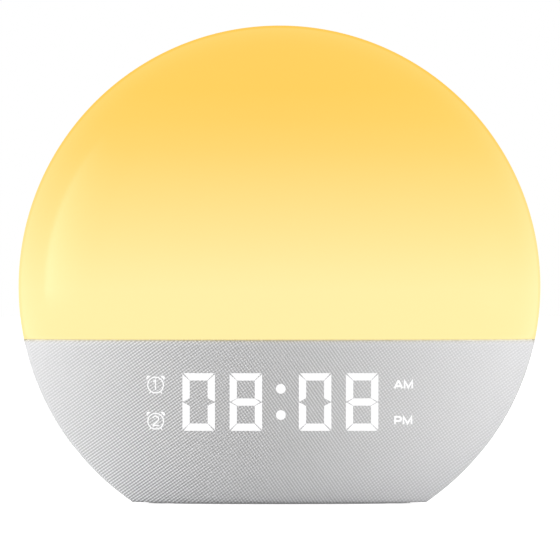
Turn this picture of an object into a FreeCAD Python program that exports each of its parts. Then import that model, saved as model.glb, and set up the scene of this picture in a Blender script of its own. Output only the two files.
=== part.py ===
"""Sunrise alarm clock: a round bedside light with a cloth covered display in its foot.

The front faces -Y, +X is to the right and +Z up. The origin is the middle of the foot, on the table.
The body is a squashed ball cut flat underneath. A parting plane splits it into a front, with the
opal light above and the cloth below, and a rear housing with the keys, the speaker and the socket.
"""
import FreeCAD
import Part
import math
import os
import Sketcher
from FreeCAD import Placement, Rotation, Vector

doc = FreeCAD.newDocument("sunrise_alarm_clock")

# Driving dimensions in millimetres
SIZES = {
    # the round body
    "body_radius": 90.0,
    "centre_height": 74.65,
    "parting_y": 4.0,
    "parting_gap": 0.1,
    "front_depth": 56.0,
    "rear_depth": 60.7,
    "back_y": 50.4,
    "back_edge_radius": 6.0,
    "rim_height": 0.3,
    "seam_height": 56.5,
    # walls
    "dome_wall": 2.4,
    "cloth_thickness": 0.7,
    "shell_wall": 2.2,
    "housing_wall": 2.4,
    "back_wall": 2.2,
    # reflector frame
    "frame_thickness": 2.4,
    "frame_radius": 86.0,
    "frame_lip": 4.0,
    "deck_thickness": 2.0,
    # foot
    "pad_thickness": 1.6,
    "plate_thickness": 3.0,
    # lamp
    "lamp_height": 106.0,
    "lamp_board_radius": 42.0,
    "board_thickness": 1.6,
    "lamp_led_width": 5.0,
    "lamp_led_height": 1.6,
    # display
    "display_middle": 34.76,
    "digit_height": 19.9,
    "digit_width": 11.2,
    "segment_width": 2.5,
    "dot_radius": 1.67,
    "window_half_width": 50.0,
    "window_bottom": 20.6,
    "window_top": 49.6,
    "display_board_y": -23.0,
    "display_ear_reach": 58.0,
    # keys
    "key_radius": 5.5,
    "key_gap": 0.3,
    "key_proud": 1.6,
    "key_travel": 0.6,
    "key_collar": 1.3,
    "key_rim": 1.1,
    "key_dish": 0.25,
    "key_stem_radius": 2.0,
    "switch_size": 6.0,
    "switch_height": 3.5,
    "snooze_length": 44.0,
    "snooze_width": 13.0,
    "key_board_y": 40.2,
    # speaker
    "speaker_height": 40.0,
    "speaker_width": 41.0,
    "grille_hole_radius": 1.0,
    # power inlet
    "inlet_x": -32.0,
    "inlet_height": 36.0,
    "inlet_width": 8.94,
    "inlet_thick": 3.26,
    "inlet_length": 7.35,
    # backup cell
    "cell_y": 17.0,
    "cell_radius": 10.0,
    "cell_thickness": 3.2,
    "door_radius": 10.5,
    # main board
    "main_board_z": 13.0,
    "main_board_width": 64.0,
    "main_board_depth": 34.0,
    # housing screws
    "upper_screw_x": 48.0,
    "upper_screw_z": 126.0,
    "lower_screw_x": 66.0,
    "lower_screw_z": 38.0,
    "screw_web_y": 10.0,
}


class Size:
    """A length worked out from the sheet: its number, and the expression that keeps it bound."""

    def __init__(self, number, text):
        self.number = number
        self.text = text

    def __add__(self, other):
        other = sized(other)
        return Size(self.number + other.number, f"({self.text} + {other.text})")

    def __sub__(self, other):
        other = sized(other)
        return Size(self.number - other.number, f"({self.text} - {other.text})")

    def __mul__(self, other):
        other = sized(other)
        return Size(self.number * other.number, f"({self.text} * {other.text})")

    def __truediv__(self, other):
        other = sized(other)
        return Size(self.number / other.number, f"({self.text} / {other.text})")

    def __neg__(self):
        return Size(-self.number, f"(-1 * {self.text})")

    def __radd__(self, other):
        return sized(other) + self

    def __rsub__(self, other):
        return sized(other) - self

    def __rmul__(self, other):
        return sized(other) * self


def sized(value):
    """A Size as it is, and a plain number as a Size that depends on no cell."""
    if isinstance(value, Size):
        return value
    return Size(float(value), f"({float(value)!r})")


def write_sheet():
    """The spreadsheet, and the same cells as Size values by name."""
    sheet = doc.addObject("Spreadsheet::Sheet", "sizes")
    for row, (alias, number) in enumerate(SIZES.items(), start=1):
        sheet.set(f"A{row}", alias)
        sheet.set(f"B{row}", str(number))
        sheet.setAlias(f"B{row}", alias)
    doc.recompute()
    return {alias: Size(float(number), f"sizes.{alias}") for alias, number in SIZES.items()}


S = write_sheet()

# Which way a sub-part's own Z axis points once it is placed
FACING = {
    "up": Rotation(),
    "down": Rotation(Vector(1, 0, 0), 180),
    "front": Rotation(Vector(1, 0, 0), 90),
    "rear": Rotation(Vector(1, 0, 0), -90),
}

sub_parts = []
solids_wanted = {}


def bind(thing, name, value):
    """Set one property of a document object, bound to the sheet."""
    thing.setExpression(name, sized(value).text)


def put(thing, x, y, z, facing="up"):
    """Give a document object its place, with each coordinate bound to the sheet."""
    thing.Placement = Placement(Vector(), FACING[facing])
    for axis, value in zip("xyz", (x, y, z)):
        bind(thing, f"Placement.Base.{axis}", value)
    return thing


def keep(thing, label, solids=1):
    """Count an object as a finished sub-part under its own name."""
    thing.Label = label
    solids_wanted[label] = solids
    sub_parts.append(thing)
    return thing


# Plain forms

def block(name, x, y, z):
    """A box from three pairs of limits."""
    box = doc.addObject("Part::Box", name)
    for side, (low, high) in zip(("Length", "Width", "Height"), (x, y, z)):
        bind(box, side, sized(high) - low)
    return put(box, x[0], y[0], z[0])


def rod(name, radius, length, x, y, z, facing="up"):
    """A cylinder that starts at a point and runs the way it faces."""
    cylinder = doc.addObject("Part::Cylinder", name)
    bind(cylinder, "Radius", radius)
    bind(cylinder, "Height", length)
    return put(cylinder, x, y, z, facing)


def cut(name, base, tool):
    result = doc.addObject("Part::Cut", name)
    result.Base = base
    result.Tool = tool
    return result


def fuse(name, shapes):
    result = doc.addObject("Part::MultiFuse", name)
    result.Shapes = shapes
    return result


def common(name, shapes):
    result = doc.addObject("Part::MultiCommon", name)
    result.Shapes = shapes
    return result


def group(name, things):
    result = doc.addObject("Part::Compound", name)
    result.Links = things
    return result


# Sketched forms

def sketch_on(body, role, name):
    """A sketch on one of its own body's origin planes."""
    plane = next(feature for feature in body.Origin.OriginFeatures if feature.Role == role)
    sketch = body.newObject("Sketcher::SketchObject", name)
    sketch.AttachmentSupport = [(plane, "")]
    sketch.MapMode = "FlatFace"
    return sketch


def pin(sketch, geometry, point, x, y):
    """Hold one point of a sketch at two coordinates bound to the sheet."""
    for kind, value in (("DistanceX", sized(x)), ("DistanceY", sized(y))):
        constraint = Sketcher.Constraint(kind, -1, 1, geometry, point, value.number)
        index = sketch.addConstraint(constraint)
        sketch.setExpression(f"Constraints[{index}]", value.text)


def draw_outline(sketch, corners):
    """A closed outline of straight sides through the corners."""
    points = [Vector(sized(x).number, sized(y).number, 0) for x, y in corners]
    first = sketch.GeometryCount
    for start, end in zip(points, points[1:] + points[:1]):
        sketch.addGeometry(Part.LineSegment(start, end), False)
    for number, (x, y) in enumerate(corners):
        before = first + (number - 1) % len(corners)
        sketch.addConstraint(Sketcher.Constraint("Coincident", before, 2, first + number, 1))
        pin(sketch, first + number, 1, x, y)


def draw_circle(sketch, radius, x, y):
    radius = sized(radius)
    centre = Vector(sized(x).number, sized(y).number, 0)
    circle = sketch.addGeometry(Part.Circle(centre, Vector(0, 0, 1), radius.number), False)
    index = sketch.addConstraint(Sketcher.Constraint("Radius", circle, radius.number))
    sketch.setExpression(f"Constraints[{index}]", radius.text)
    pin(sketch, circle, 3, x, y)


def rectangle(width, height):
    """The corners of a rectangle about the middle."""
    across = sized(width) / 2
    up = sized(height) / 2
    return [(-across, -up), (across, -up), (across, up), (-across, up)]


def turned(name, corners):
    """A body turned about its own Z axis from the half outline of (radius, height) corners."""
    body = doc.addObject("PartDesign::Body", name)
    sketch = sketch_on(body, "XZ_Plane", f"{name}_outline")
    draw_outline(sketch, corners)
    turn = body.newObject("PartDesign::Revolution", f"{name}_turn")
    turn.Profile = sketch
    turn.ReferenceAxis = (sketch, ["V_Axis"])
    turn.Angle = 360
    sketch.Visibility = False
    return body


def padded(name, thickness, corners=None, circle=None, holes=()):
    """A flat body on its own XY plane with an outline or a circle, and round holes (x, y, radius)."""
    body = doc.addObject("PartDesign::Body", name)
    sketch = sketch_on(body, "XY_Plane", f"{name}_outline")
    if corners:
        draw_outline(sketch, corners)
    if circle:
        draw_circle(sketch, circle, 0, 0)
    for x, y, radius in holes:
        draw_circle(sketch, radius, x, y)
    pad = body.newObject("PartDesign::Pad", f"{name}_pad")
    pad.Profile = sketch
    bind(pad, "Length", thickness)
    return body


def rounded_pad(name, width, height, thickness):
    """A flat body with half round ends."""
    body = doc.addObject("PartDesign::Body", name)
    sketch = sketch_on(body, "XY_Plane", f"{name}_outline")
    width, height = sized(width), sized(height)
    reach = (width - height) / 2
    radius = (height / 2).number
    for sign, start in ((1, -math.pi / 2), (-1, math.pi / 2)):
        circle = Part.Circle(Vector(sign * reach.number, 0, 0), Vector(0, 0, 1), radius)
        sketch.addGeometry(Part.ArcOfCircle(circle, start, start + math.pi), False)
    right, left = 0, 1
    for across in (radius, -radius):
        start = Vector(reach.number, across, 0)
        sketch.addGeometry(Part.LineSegment(start, Vector(-reach.number, across, 0)), False)
    top, bottom = 2, 3
    sketch.addConstraint([
        Sketcher.Constraint("Tangent", right, 2, top, 1),
        Sketcher.Constraint("Tangent", top, 2, left, 1),
        Sketcher.Constraint("Tangent", left, 2, bottom, 2),
        Sketcher.Constraint("Tangent", bottom, 1, right, 1),
    ])
    index = sketch.addConstraint(Sketcher.Constraint("Radius", right, radius))
    sketch.setExpression(f"Constraints[{index}]", (height / 2).text)
    pin(sketch, right, 3, reach, 0)
    pin(sketch, left, 3, -reach, 0)
    pad = body.newObject("PartDesign::Pad", f"{name}_pad")
    pad.Profile = sketch
    bind(pad, "Length", thickness)
    return body


def screws(label, places, facing, shaft_radius, length, head_radius=2.5, head_height=1.6):
    """Pan head screws. Each stands with the underside of its head at its place."""
    made = []
    for number, (x, y, z) in enumerate(places):
        screw = turned(f"{label}_{number}", [
            (0, -sized(head_height)),
            (sized(head_radius) - 0.5, -sized(head_height)),
            (head_radius, -sized(head_height) + 0.5),
            (head_radius, 0),
            (shaft_radius, 0),
            (shaft_radius, sized(length) - shaft_radius),
            (0, length),
        ])
        put(screw, x, y, z, facing)
        made.append(screw)
    return keep(group(f"{label}_group", made), label, len(made))


# The rounded body

def round_half(name, side, inset):
    """Half of the squashed ball, front or rear, its surface a wall's depth inside the outermost."""
    half = doc.addObject("Part::Ellipsoid", name)
    depth = S["front_depth"] if side == "front" else S["rear_depth"]
    bind(half, "Radius1", depth - inset)
    bind(half, "Radius2", S["body_radius"] - inset)
    half.Angle1 = 0
    return put(half, 0, S["parting_y"], S["centre_height"], side)


WIDE = (-S["body_radius"] - 5, S["body_radius"] + 5)
FRONT = (-S["front_depth"] - 5, S["parting_y"] - S["parting_gap"])
REAR = (S["parting_y"] + S["parting_gap"], S["back_y"])
TOP = S["centre_height"] + S["body_radius"] + 5
CLOTH = S["cloth_thickness"]
SHELL = CLOTH + S["shell_wall"]
DECK_TOP = S["seam_height"] - 0.1
DECK_UNDER = DECK_TOP - S["deck_thickness"]
BACK_INNER = S["back_y"] - S["back_wall"]
PLATE_BOTTOM = S["pad_thickness"]
PLATE_TOP = PLATE_BOTTOM + S["plate_thickness"]
FRAME_BACK = S["parting_y"] + S["frame_thickness"]
BOARD_FRONT = S["display_board_y"]
BOARD_BACK = BOARD_FRONT + S["board_thickness"]
UPPER_SCREWS = [(-S["upper_screw_x"], S["upper_screw_z"]), (S["upper_screw_x"], S["upper_screw_z"])]
LOWER_SCREWS = [(-S["lower_screw_x"], S["lower_screw_z"]), (S["lower_screw_x"], S["lower_screw_z"])]
FRONT_FOOT_SCREWS = [(-38, -8), (38, -8)]
REAR_FOOT_SCREWS = [(-27, 24), (27, 24)]
FOOT_SCREWS = FRONT_FOOT_SCREWS + REAR_FOOT_SCREWS


def front_slice(name, outer_inset, inner_inset, low, high):
    """A skin of the front half between two insets and two heights."""
    skin = cut(f"{name}_skin", round_half(f"{name}_outer", "front", outer_inset),
               round_half(f"{name}_inner", "front", inner_inset))
    return common(f"{name}_form", [skin, block(f"{name}_limits", WIDE, FRONT, (low, high))])


def make_dome():
    keep(front_slice("dome", 0, S["dome_wall"], S["seam_height"], TOP), "light_dome")


def make_cloth():
    keep(front_slice("cloth", 0, CLOTH, S["rim_height"], S["seam_height"] - 0.4), "fabric_cover")


def make_base_shell():
    """The shell under the cloth, with the display opening and the bosses that hold the boards."""
    skin = front_slice("base_shell", CLOTH, SHELL, S["rim_height"], DECK_UNDER)
    bosses = []
    for number, (x, z) in enumerate(LOWER_SCREWS):
        bosses.append(rod(f"base_column_{number}", 4, 66, x, S["screw_web_y"], z, "front"))
    for number, x in enumerate((-54.5, 54.5)):
        bosses.append(rod(f"display_column_{number}", 3, 30, x, BOARD_FRONT, S["display_middle"], "front"))
    for number, (x, y) in enumerate(FRONT_FOOT_SCREWS):
        bosses.append(rod(f"foot_boss_front_{number}", 3.5, 9, x, y, PLATE_TOP))
        span = (38, 58) if x > 0 else (-58, -38)
        bosses.append(block(f"foot_rib_front_{number}", span, (y - 1, y + 1), (PLATE_TOP, PLATE_TOP + 9)))
    inner_part = round_half("base_shell_front", "front", CLOTH + 1)
    tail = block("base_shell_tail", WIDE, (S["parting_y"] - 1, S["screw_web_y"]), (0, DECK_UNDER))
    bosses = common("base_bosses", [fuse("base_boss_group", bosses), fuse("base_boss_room", [inner_part, tail])])
    body = fuse("base_shell_body", [skin, bosses])
    holes = [block("display_opening", (-S["window_half_width"], S["window_half_width"]), (-60, -20),
                   (S["window_bottom"], S["window_top"]))]
    for number, (x, z) in enumerate(LOWER_SCREWS):
        holes.append(rod(f"base_pilot_{number}", 1.3, 12, x, S["screw_web_y"] + 1, z, "front"))
    for number, x in enumerate((-54.5, 54.5)):
        holes.append(rod(f"ear_pilot_{number}", 1, 7, x, BOARD_FRONT + 1, S["display_middle"], "front"))
    for number, (x, y) in enumerate(FRONT_FOOT_SCREWS):
        holes.append(rod(f"foot_pilot_front_{number}", 1.3, 8.5, x, y, PLATE_TOP - 1))
    keep(cut("base_shell_cut", body, group("base_shell_holes", holes)), "base_shell")


def make_frame():
    """The white frame behind the lamp: reflector, rim for the dome and deck over the display."""
    radius = S["frame_radius"]
    plate = rod("frame_disc", radius, S["frame_thickness"], 0, S["parting_y"], S["centre_height"], "rear")
    rim = cut("frame_rim", rod("frame_rim_outer", radius, S["frame_lip"] + 0.5, 0, S["parting_y"] + 0.5,
                               S["centre_height"], "front"),
              rod("frame_rim_inner", radius - 1.8, S["frame_lip"] + 2, 0, S["parting_y"] + 1.5,
                  S["centre_height"], "front"))
    above = block("frame_above", WIDE, (-60, 60), (DECK_UNDER, TOP))
    deck = common("frame_deck", [
        round_half("frame_deck_outline", "front", CLOTH + 0.2),
        block("frame_deck_limits", WIDE, (-60, S["parting_y"] + 0.5), (DECK_UNDER, DECK_TOP))])
    upright = common("frame_upright", [fuse("frame_ring", [plate, rim]), above])
    bosses = [rod(f"frame_boss_{number}", 4, S["screw_web_y"] - FRAME_BACK, x, FRAME_BACK, z, "rear")
              for number, (x, z) in enumerate(UPPER_SCREWS)]
    bosses += [rod(f"lamp_boss_{number}", 3, 4, x, FRAME_BACK, z, "rear")
               for number, (x, z) in enumerate(lamp_screw_places())]
    body = fuse("frame_body", [upright, deck] + bosses)
    holes = [rod(f"frame_pilot_{number}", 1.3, 9, x, S["screw_web_y"] + 1, z, "front")
             for number, (x, z) in enumerate(UPPER_SCREWS)]
    holes += [rod(f"lamp_pilot_{number}", 1, 8, x, S["parting_y"] - 1, z, "rear")
              for number, (x, z) in enumerate(lamp_screw_places())]
    holes.append(block("lamp_lead_slot", (-18.2, -9.8), (0, 12), (67.4, 72.6)))
    keep(cut("frame_cut", body, group("frame_holes", holes)), "reflector_frame")


# Lamp

def lamp_screw_places():
    """Four places on the lamp board, at the corners of a square."""
    reach = 19.8
    return [(x, S["lamp_height"] + z) for x in (-reach, reach) for z in (-reach, reach)]


def make_lamp():
    face = S["parting_y"] - S["board_thickness"]
    holes = [(x, z - S["lamp_height"], 1.3) for x, z in lamp_screw_places()]
    board = padded("lamp_board_body", S["board_thickness"], circle=S["lamp_board_radius"], holes=holes)
    keep(put(board, 0, S["parting_y"], S["lamp_height"], "front"), "lamp_board")
    chips = []
    half = S["lamp_led_width"] / 2
    for ring, (radius, count) in enumerate(((0, 1), (14, 6), (35, 12))):
        for step in range(count):
            turn = 2 * math.pi * step / count
            x, z = radius * math.sin(turn), S["lamp_height"] + radius * math.cos(turn)
            chips.append(block(f"lamp_led_{ring}_{step}", (x - half, x + half),
                               (face - S["lamp_led_height"], face), (z - half, z + half)))
    keep(group("lamp_led_group", chips), "lamp_leds", len(chips))
    screws("lamp_board_screws", [(x, face, z) for x, z in lamp_screw_places()], "rear", 1.1, 6.5, 2.2, 1.4)


# Display

def digit_centres():
    """The four digits from left to right."""
    return (-27.88, -11.61, 12.27, 28.50)


def segment_outlines():
    """The mitred outline of each bar of each digit, seen from the front."""
    middle = S["display_middle"].number
    half = S["digit_width"].number / 2
    tall = S["digit_height"].number / 2
    bar = S["segment_width"].number
    gap = 0.35
    outlines = []
    for centre in digit_centres():
        for sign in (1, -1):
            edge, inner = middle + sign * tall, middle + sign * (tall - bar)
            outlines.append([(centre - half + gap, edge), (centre + half - gap, edge),
                             (centre + half - bar - gap, inner), (centre - half + bar + gap, inner)])
            for side in (1, -1):
                out, into = centre + side * half, centre + side * (half - bar)
                outlines.append([(out, edge - sign * gap), (into, inner - sign * gap),
                                 (into, middle + sign * (bar / 2 + gap)),
                                 (centre + side * (half - bar / 2), middle + sign * gap),
                                 (out, middle + sign * (bar / 2 + gap))])
        ends = half - bar / 2 - gap
        shoulder = ends - bar / 2
        outlines.append([(centre - ends, middle), (centre - shoulder, middle + bar / 2),
                         (centre + shoulder, middle + bar / 2), (centre + ends, middle),
                         (centre + shoulder, middle - bar / 2), (centre - shoulder, middle - bar / 2)])
    return outlines


def sign_places():
    """Middle and half size of the four small signs: alarm one, alarm two, AM and PM."""
    return ((-42.77, 40.60, 3.5, 3.5), (-42.77, 28.09, 3.5, 3.5), (42.77, 40.72, 3.9, 2.1), (42.75, 28.31, 3.9, 2.1))


def make_display():
    """Light pipes for every segment, moulded into a dark block on the display board."""
    deep = Vector(0, BOARD_FRONT.number - 1.2, 0)
    run = Vector(0, -30, 0)
    pipes = []
    for outline in segment_outlines():
        points = [Vector(x, 0, z) + deep for x, z in outline]
        pipes.append(Part.Face(Part.makePolygon(points + points[:1])).extrude(run))
    for z in (39.32, 30.29):
        pipes.append(Part.makeCylinder(S["dot_radius"].number, 30, Vector(0.45, deep.y, z), Vector(0, -1, 0)))
    for x, z, across, up in sign_places():
        pipes.append(Part.makeBox(2 * across, 30, 2 * up, Vector(x - across, deep.y - 30, z - up)))
    raw = doc.addObject("Part::Feature", "pipe_rods")
    raw.Shape = Part.makeCompound(pipes)
    touching = round_half("pipe_ends", "front", SHELL + 0.1)
    keep(common("pipe_form", [raw, touching]), "segment_pipes", len(pipes))

    low, high = S["window_bottom"] + 1, S["window_top"] - 0.6
    room = block("display_block_room", (-49, 49), (-60, BOARD_FRONT), (low, high))
    form = common("display_block_form", [room, round_half("display_block_front", "front", SHELL + 0.2)])
    holes = doc.addObject("Part::Feature", "pipe_holes")
    holes.Shape = Part.makeCompound([pipe.copy().translated(Vector(0, 1.3, 0)) for pipe in pipes])
    hollow = cut("display_block_hollow", form, holes)
    pilots = [rod(f"block_pilot_{number}", 0.8, 5.2, x, BOARD_FRONT + 1, z, "front")
              for number, (x, z) in enumerate(block_screw_places())]
    keep(cut("display_block_cut", hollow, group("block_pilots", pilots)), "display_block")

    pane = front_slice("window", CLOTH + 0.2, SHELL, S["window_bottom"] + 0.2, S["window_top"] - 0.2)
    reach = S["window_half_width"] - 0.2
    keep(common("window_cut", [pane, block("window_width", (-reach, reach), (-60, -20), (0, 60))]),
         "display_window")

    half = 49.5
    ear = S["display_ear_reach"]
    corners = [(-half, -14), (half, -14), (half, -5), (ear, -5), (ear, 5), (half, 5), (half, 14),
               (-half, 14), (-half, 5), (-ear, 5), (-ear, -5), (-half, -5)]
    middle = 35.2
    holes = [(x, z - middle, 1.2) for x, z in block_screw_places()]
    holes += [(x, S["display_middle"] - middle, 1.3) for x in (-54.5, 54.5)]
    board = padded("display_board_body", S["board_thickness"], corners=corners, holes=holes)
    keep(put(board, 0, BOARD_BACK, middle, "front"), "display_board")

    chips = []
    for number, (x, z) in enumerate(display_led_places()):
        chips.append(block(f"display_led_{number}", (x - 0.8, x + 0.8), (BOARD_FRONT - 0.8, BOARD_FRONT),
                           (z - 0.8, z + 0.8)))
    keep(group("display_led_group", chips), "display_leds", len(chips))
    places = [(x, BOARD_BACK, z) for x, z in block_screw_places()]
    places += [(x, BOARD_BACK, S["display_middle"]) for x in (-54.5, 54.5)]
    screws("display_screws", places, "front", 0.9, 5.6, 1.9, 1.3)


def block_screw_places():
    return [(x, z) for x in (-46.6, 46.6) for z in (23.6, 47)]


def display_led_places():
    """One light behind every bar, dot and sign."""
    middle = S["display_middle"].number
    half = S["digit_width"].number / 2 - S["segment_width"].number / 2
    tall = S["digit_height"].number / 2 - S["segment_width"].number / 2
    places = []
    for centre in digit_centres():
        places += [(centre, middle + up) for up in (-tall, 0, tall)]
        places += [(centre + side, middle + up) for side in (-half, half) for up in (-tall / 2, tall / 2)]
    places += [(0.45, 39.32), (0.45, 30.29)]
    places += [(x, z) for x, z, across, up in sign_places()]
    return places


# Rear housing

KEYS = {
    "key_alarm_one": (-30, 98),
    "key_alarm_two": (-10, 98),
    "key_time_set": (10, 98),
    "key_light": (30, 98),
    "key_minus": (-30, 80),
    "key_plus": (-10, 80),
    "key_quieter": (10, 80),
    "key_louder": (30, 80),
}
SNOOZE_PLACE = (0, 118)
KEY_POSTS = [(-20, 89), (20, 89), (-34, 108), (34, 108)]
SPEAKER_REACH = 17.5


def speaker_corners():
    return [(x, S["speaker_height"] + z) for x in (-SPEAKER_REACH, SPEAKER_REACH)
            for z in (-SPEAKER_REACH, SPEAKER_REACH)]


def grille_places():
    """Rings of holes in front of the speaker."""
    places = [(0, S["speaker_height"])]
    for ring in range(1, 5):
        for step in range(6 * ring):
            turn = 2 * math.pi * step / (6 * ring)
            places.append((3.9 * ring * math.sin(turn), S["speaker_height"] + 3.9 * ring * math.cos(turn)))
    return places


def make_rear_housing():
    """The rear shell with its flat back, and inside it posts for screws, boards and speaker."""
    limits = block("housing_limits", WIDE, REAR, (S["rim_height"], TOP))
    blunt = common("housing_blunt", [round_half("housing_outer", "rear", 0), limits])
    doc.recompute()
    rounded = doc.addObject("Part::Fillet", "housing_rounded")
    rounded.Base = blunt
    edge = next(number for number, edge in enumerate(blunt.Shape.Edges, start=1)
                if edge.BoundBox.YMin > S["back_y"].number - 0.01)
    radius = S["back_edge_radius"].number
    rounded.Edges = [(edge, radius, radius)]
    inner = common("housing_room", [round_half("housing_inner", "rear", S["housing_wall"]),
                                    block("housing_room_limits", WIDE, (-1, BACK_INNER), (-5, TOP))])
    shell = cut("housing_shell", rounded, inner)
    posts = []
    for number, (x, z) in enumerate(UPPER_SCREWS + LOWER_SCREWS):
        posts.append(rod(f"screw_post_{number}", 4.8, 42, x, S["screw_web_y"], z, "rear"))
    board_back = S["key_board_y"]
    for number, (x, z) in enumerate(KEY_POSTS):
        posts.append(rod(f"key_post_{number}", 2.5, 9, x, board_back, z, "rear"))
    for number, (x, z) in enumerate(speaker_corners()):
        posts.append(rod(f"speaker_post_{number}", 2.7, 3, x, BACK_INNER - 2, z, "rear"))
    for number, (x, y) in enumerate(REAR_FOOT_SCREWS):
        posts.append(rod(f"foot_boss_rear_{number}", 3.5, 9, x, y, PLATE_TOP))
        posts.append(block(f"foot_rib_rear_{number}", (x - 1, x + 1), (y, 50), (PLATE_TOP, PLATE_TOP + 9)))
    under = S["inlet_height"] - S["inlet_thick"] / 2 - S["board_thickness"]
    for number, x in enumerate((-38.5, -25.5)):
        posts.append(block(f"inlet_rib_{number}", (x - 1.8, x + 1.8), (34, 50), (under - 5, under)))
    reach = common("housing_reach", [round_half("housing_middle", "rear", 1),
                                     block("housing_reach_limits", WIDE, (-1, S["back_y"] - 1), (0, TOP))])
    posts = common("housing_posts", [fuse("housing_post_group", posts), reach])
    body = fuse("housing_body", [shell, posts])
    wells = [rod(f"screw_well_{number}", 3.2, 50, x, S["screw_web_y"] + 2, z, "rear")
             for number, (x, z) in enumerate(UPPER_SCREWS + LOWER_SCREWS)]
    body = cut("housing_welled", body, group("screw_wells", wells))
    holes = [rod(f"screw_through_{number}", 1.7, 5, x, S["screw_web_y"] - 1, z, "rear")
             for number, (x, z) in enumerate(UPPER_SCREWS + LOWER_SCREWS)]
    for number, (x, z) in enumerate(KEY_POSTS):
        holes.append(rod(f"key_pilot_{number}", 0.9, 6, x, board_back - 1, z, "rear"))
    for number, (x, z) in enumerate(speaker_corners()):
        holes.append(rod(f"speaker_pilot_{number}", 0.9, 4.4, x, BACK_INNER - 3, z, "rear"))
    for number, (x, y) in enumerate(REAR_FOOT_SCREWS):
        holes.append(rod(f"foot_pilot_rear_{number}", 1.3, 8.5, x, y, PLATE_TOP - 1))
    holes += [rod(f"inlet_pilot_{number}", 0.9, 4.4, S["inlet_x"] + across, 36.6, under - 4)
              for number, across in enumerate((-6.5, 6.5))]
    for name, (x, z) in KEYS.items():
        holes.append(rod(f"{name}_hole", S["key_radius"] + S["key_gap"], 6, x, 47, z, "rear"))
    slot = rounded_pad("snooze_slot", S["snooze_length"] + 2 * S["key_gap"], S["snooze_width"] + 2 * S["key_gap"], 6)
    holes.append(put(slot, SNOOZE_PLACE[0], 47, SNOOZE_PLACE[1], "rear"))
    for number, (x, z) in enumerate(grille_places()):
        holes.append(rod(f"grille_hole_{number}", S["grille_hole_radius"], 6, x, 47, z, "rear"))
    inlet = rounded_pad("inlet_hole", S["inlet_width"] + 0.4, S["inlet_thick"] + 0.4, 6)
    holes.append(put(inlet, S["inlet_x"], 47, S["inlet_height"], "rear"))
    keep(cut("housing_cut", body, group("housing_holes", holes)), "rear_housing")
    places = [(x, S["screw_web_y"] + 2, z) for x, z in UPPER_SCREWS + LOWER_SCREWS]
    screws("housing_screws", places, "front", 1.4, 7.5, 2.8, 2)


def make_keys():
    """Round keys and the wide snooze key, each with a collar behind the panel and a short stem."""
    collar_top = BACK_INNER - S["key_gap"]
    rise = S["back_y"] + S["key_proud"] - collar_top
    radius = S["key_radius"]
    dish = rise - S["key_dish"]
    stem_tip = S["key_board_y"] + S["switch_height"] + S["key_collar"] + 0.2
    stem = S["key_stem_radius"]
    collar = S["key_collar"]
    for name, (x, z) in KEYS.items():
        key = turned(f"{name}_body", [
            (0, stem_tip - collar_top), (stem, stem_tip - collar_top), (stem, -collar), (radius + 1, -collar),
            (radius + 1, 0), (radius, 0), (radius, rise - 0.5), (radius - 0.5, rise),
            (radius - S["key_rim"] + 0.15, rise), (radius - S["key_rim"], dish), (0, dish)])
        keep(put(key, x, collar_top, z, "rear"), name)
    x, z = SNOOZE_PLACE
    bar = put(rounded_pad("snooze_bar", S["snooze_length"], S["snooze_width"], rise + 1), x, collar_top - 1, z, "rear")
    flange = put(rounded_pad("snooze_collar", S["snooze_length"] + 2, S["snooze_width"] + 2, collar), x,
                 collar_top - collar, z, "rear")
    post = rod("snooze_stem", stem, collar_top - 1 - stem_tip, x, stem_tip, z, "rear")
    hollow = put(rounded_pad("snooze_dish", S["snooze_length"] - S["key_rim"] * 2,
                             S["snooze_width"] - S["key_rim"] * 2, 1), x, collar_top + dish, z, "rear")
    keep(cut("snooze_cut", fuse("snooze_form", [bar, flange, post]), hollow), "key_snooze")


def make_key_board():
    back = S["key_board_y"]
    middle = 99
    corners = [(-38, -23), (38, -23), (38, 14), (27, 25), (-27, 25), (-38, 14)]
    holes = [(x, middle - z, 1.2) for x, z in KEY_POSTS]
    board = padded("key_board_body", S["board_thickness"], corners=[(x, -z) for x, z in corners][::-1], holes=holes)
    keep(put(board, 0, back - S["board_thickness"], middle, "rear"), "key_board")
    half = S["switch_size"] / 2
    switches = []
    for number, (x, z) in enumerate(list(KEYS.values()) + [SNOOZE_PLACE]):
        case = block(f"switch_case_{number}", (x - half, x + half), (back, back + S["switch_height"]),
                     (z - half, z + half))
        plunger = rod(f"switch_plunger_{number}", 1.7, 1.2, x, back + S["switch_height"] - 0.5, z, "rear")
        switches.append(fuse(f"switch_{number}", [case, plunger]))
    keep(group("switch_group", switches), "key_switches", len(switches))
    places = [(x, back - S["board_thickness"], z) for x, z in KEY_POSTS]
    screws("key_board_screws", places, "rear", 1, 5.5, 2, 1.4)


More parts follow.
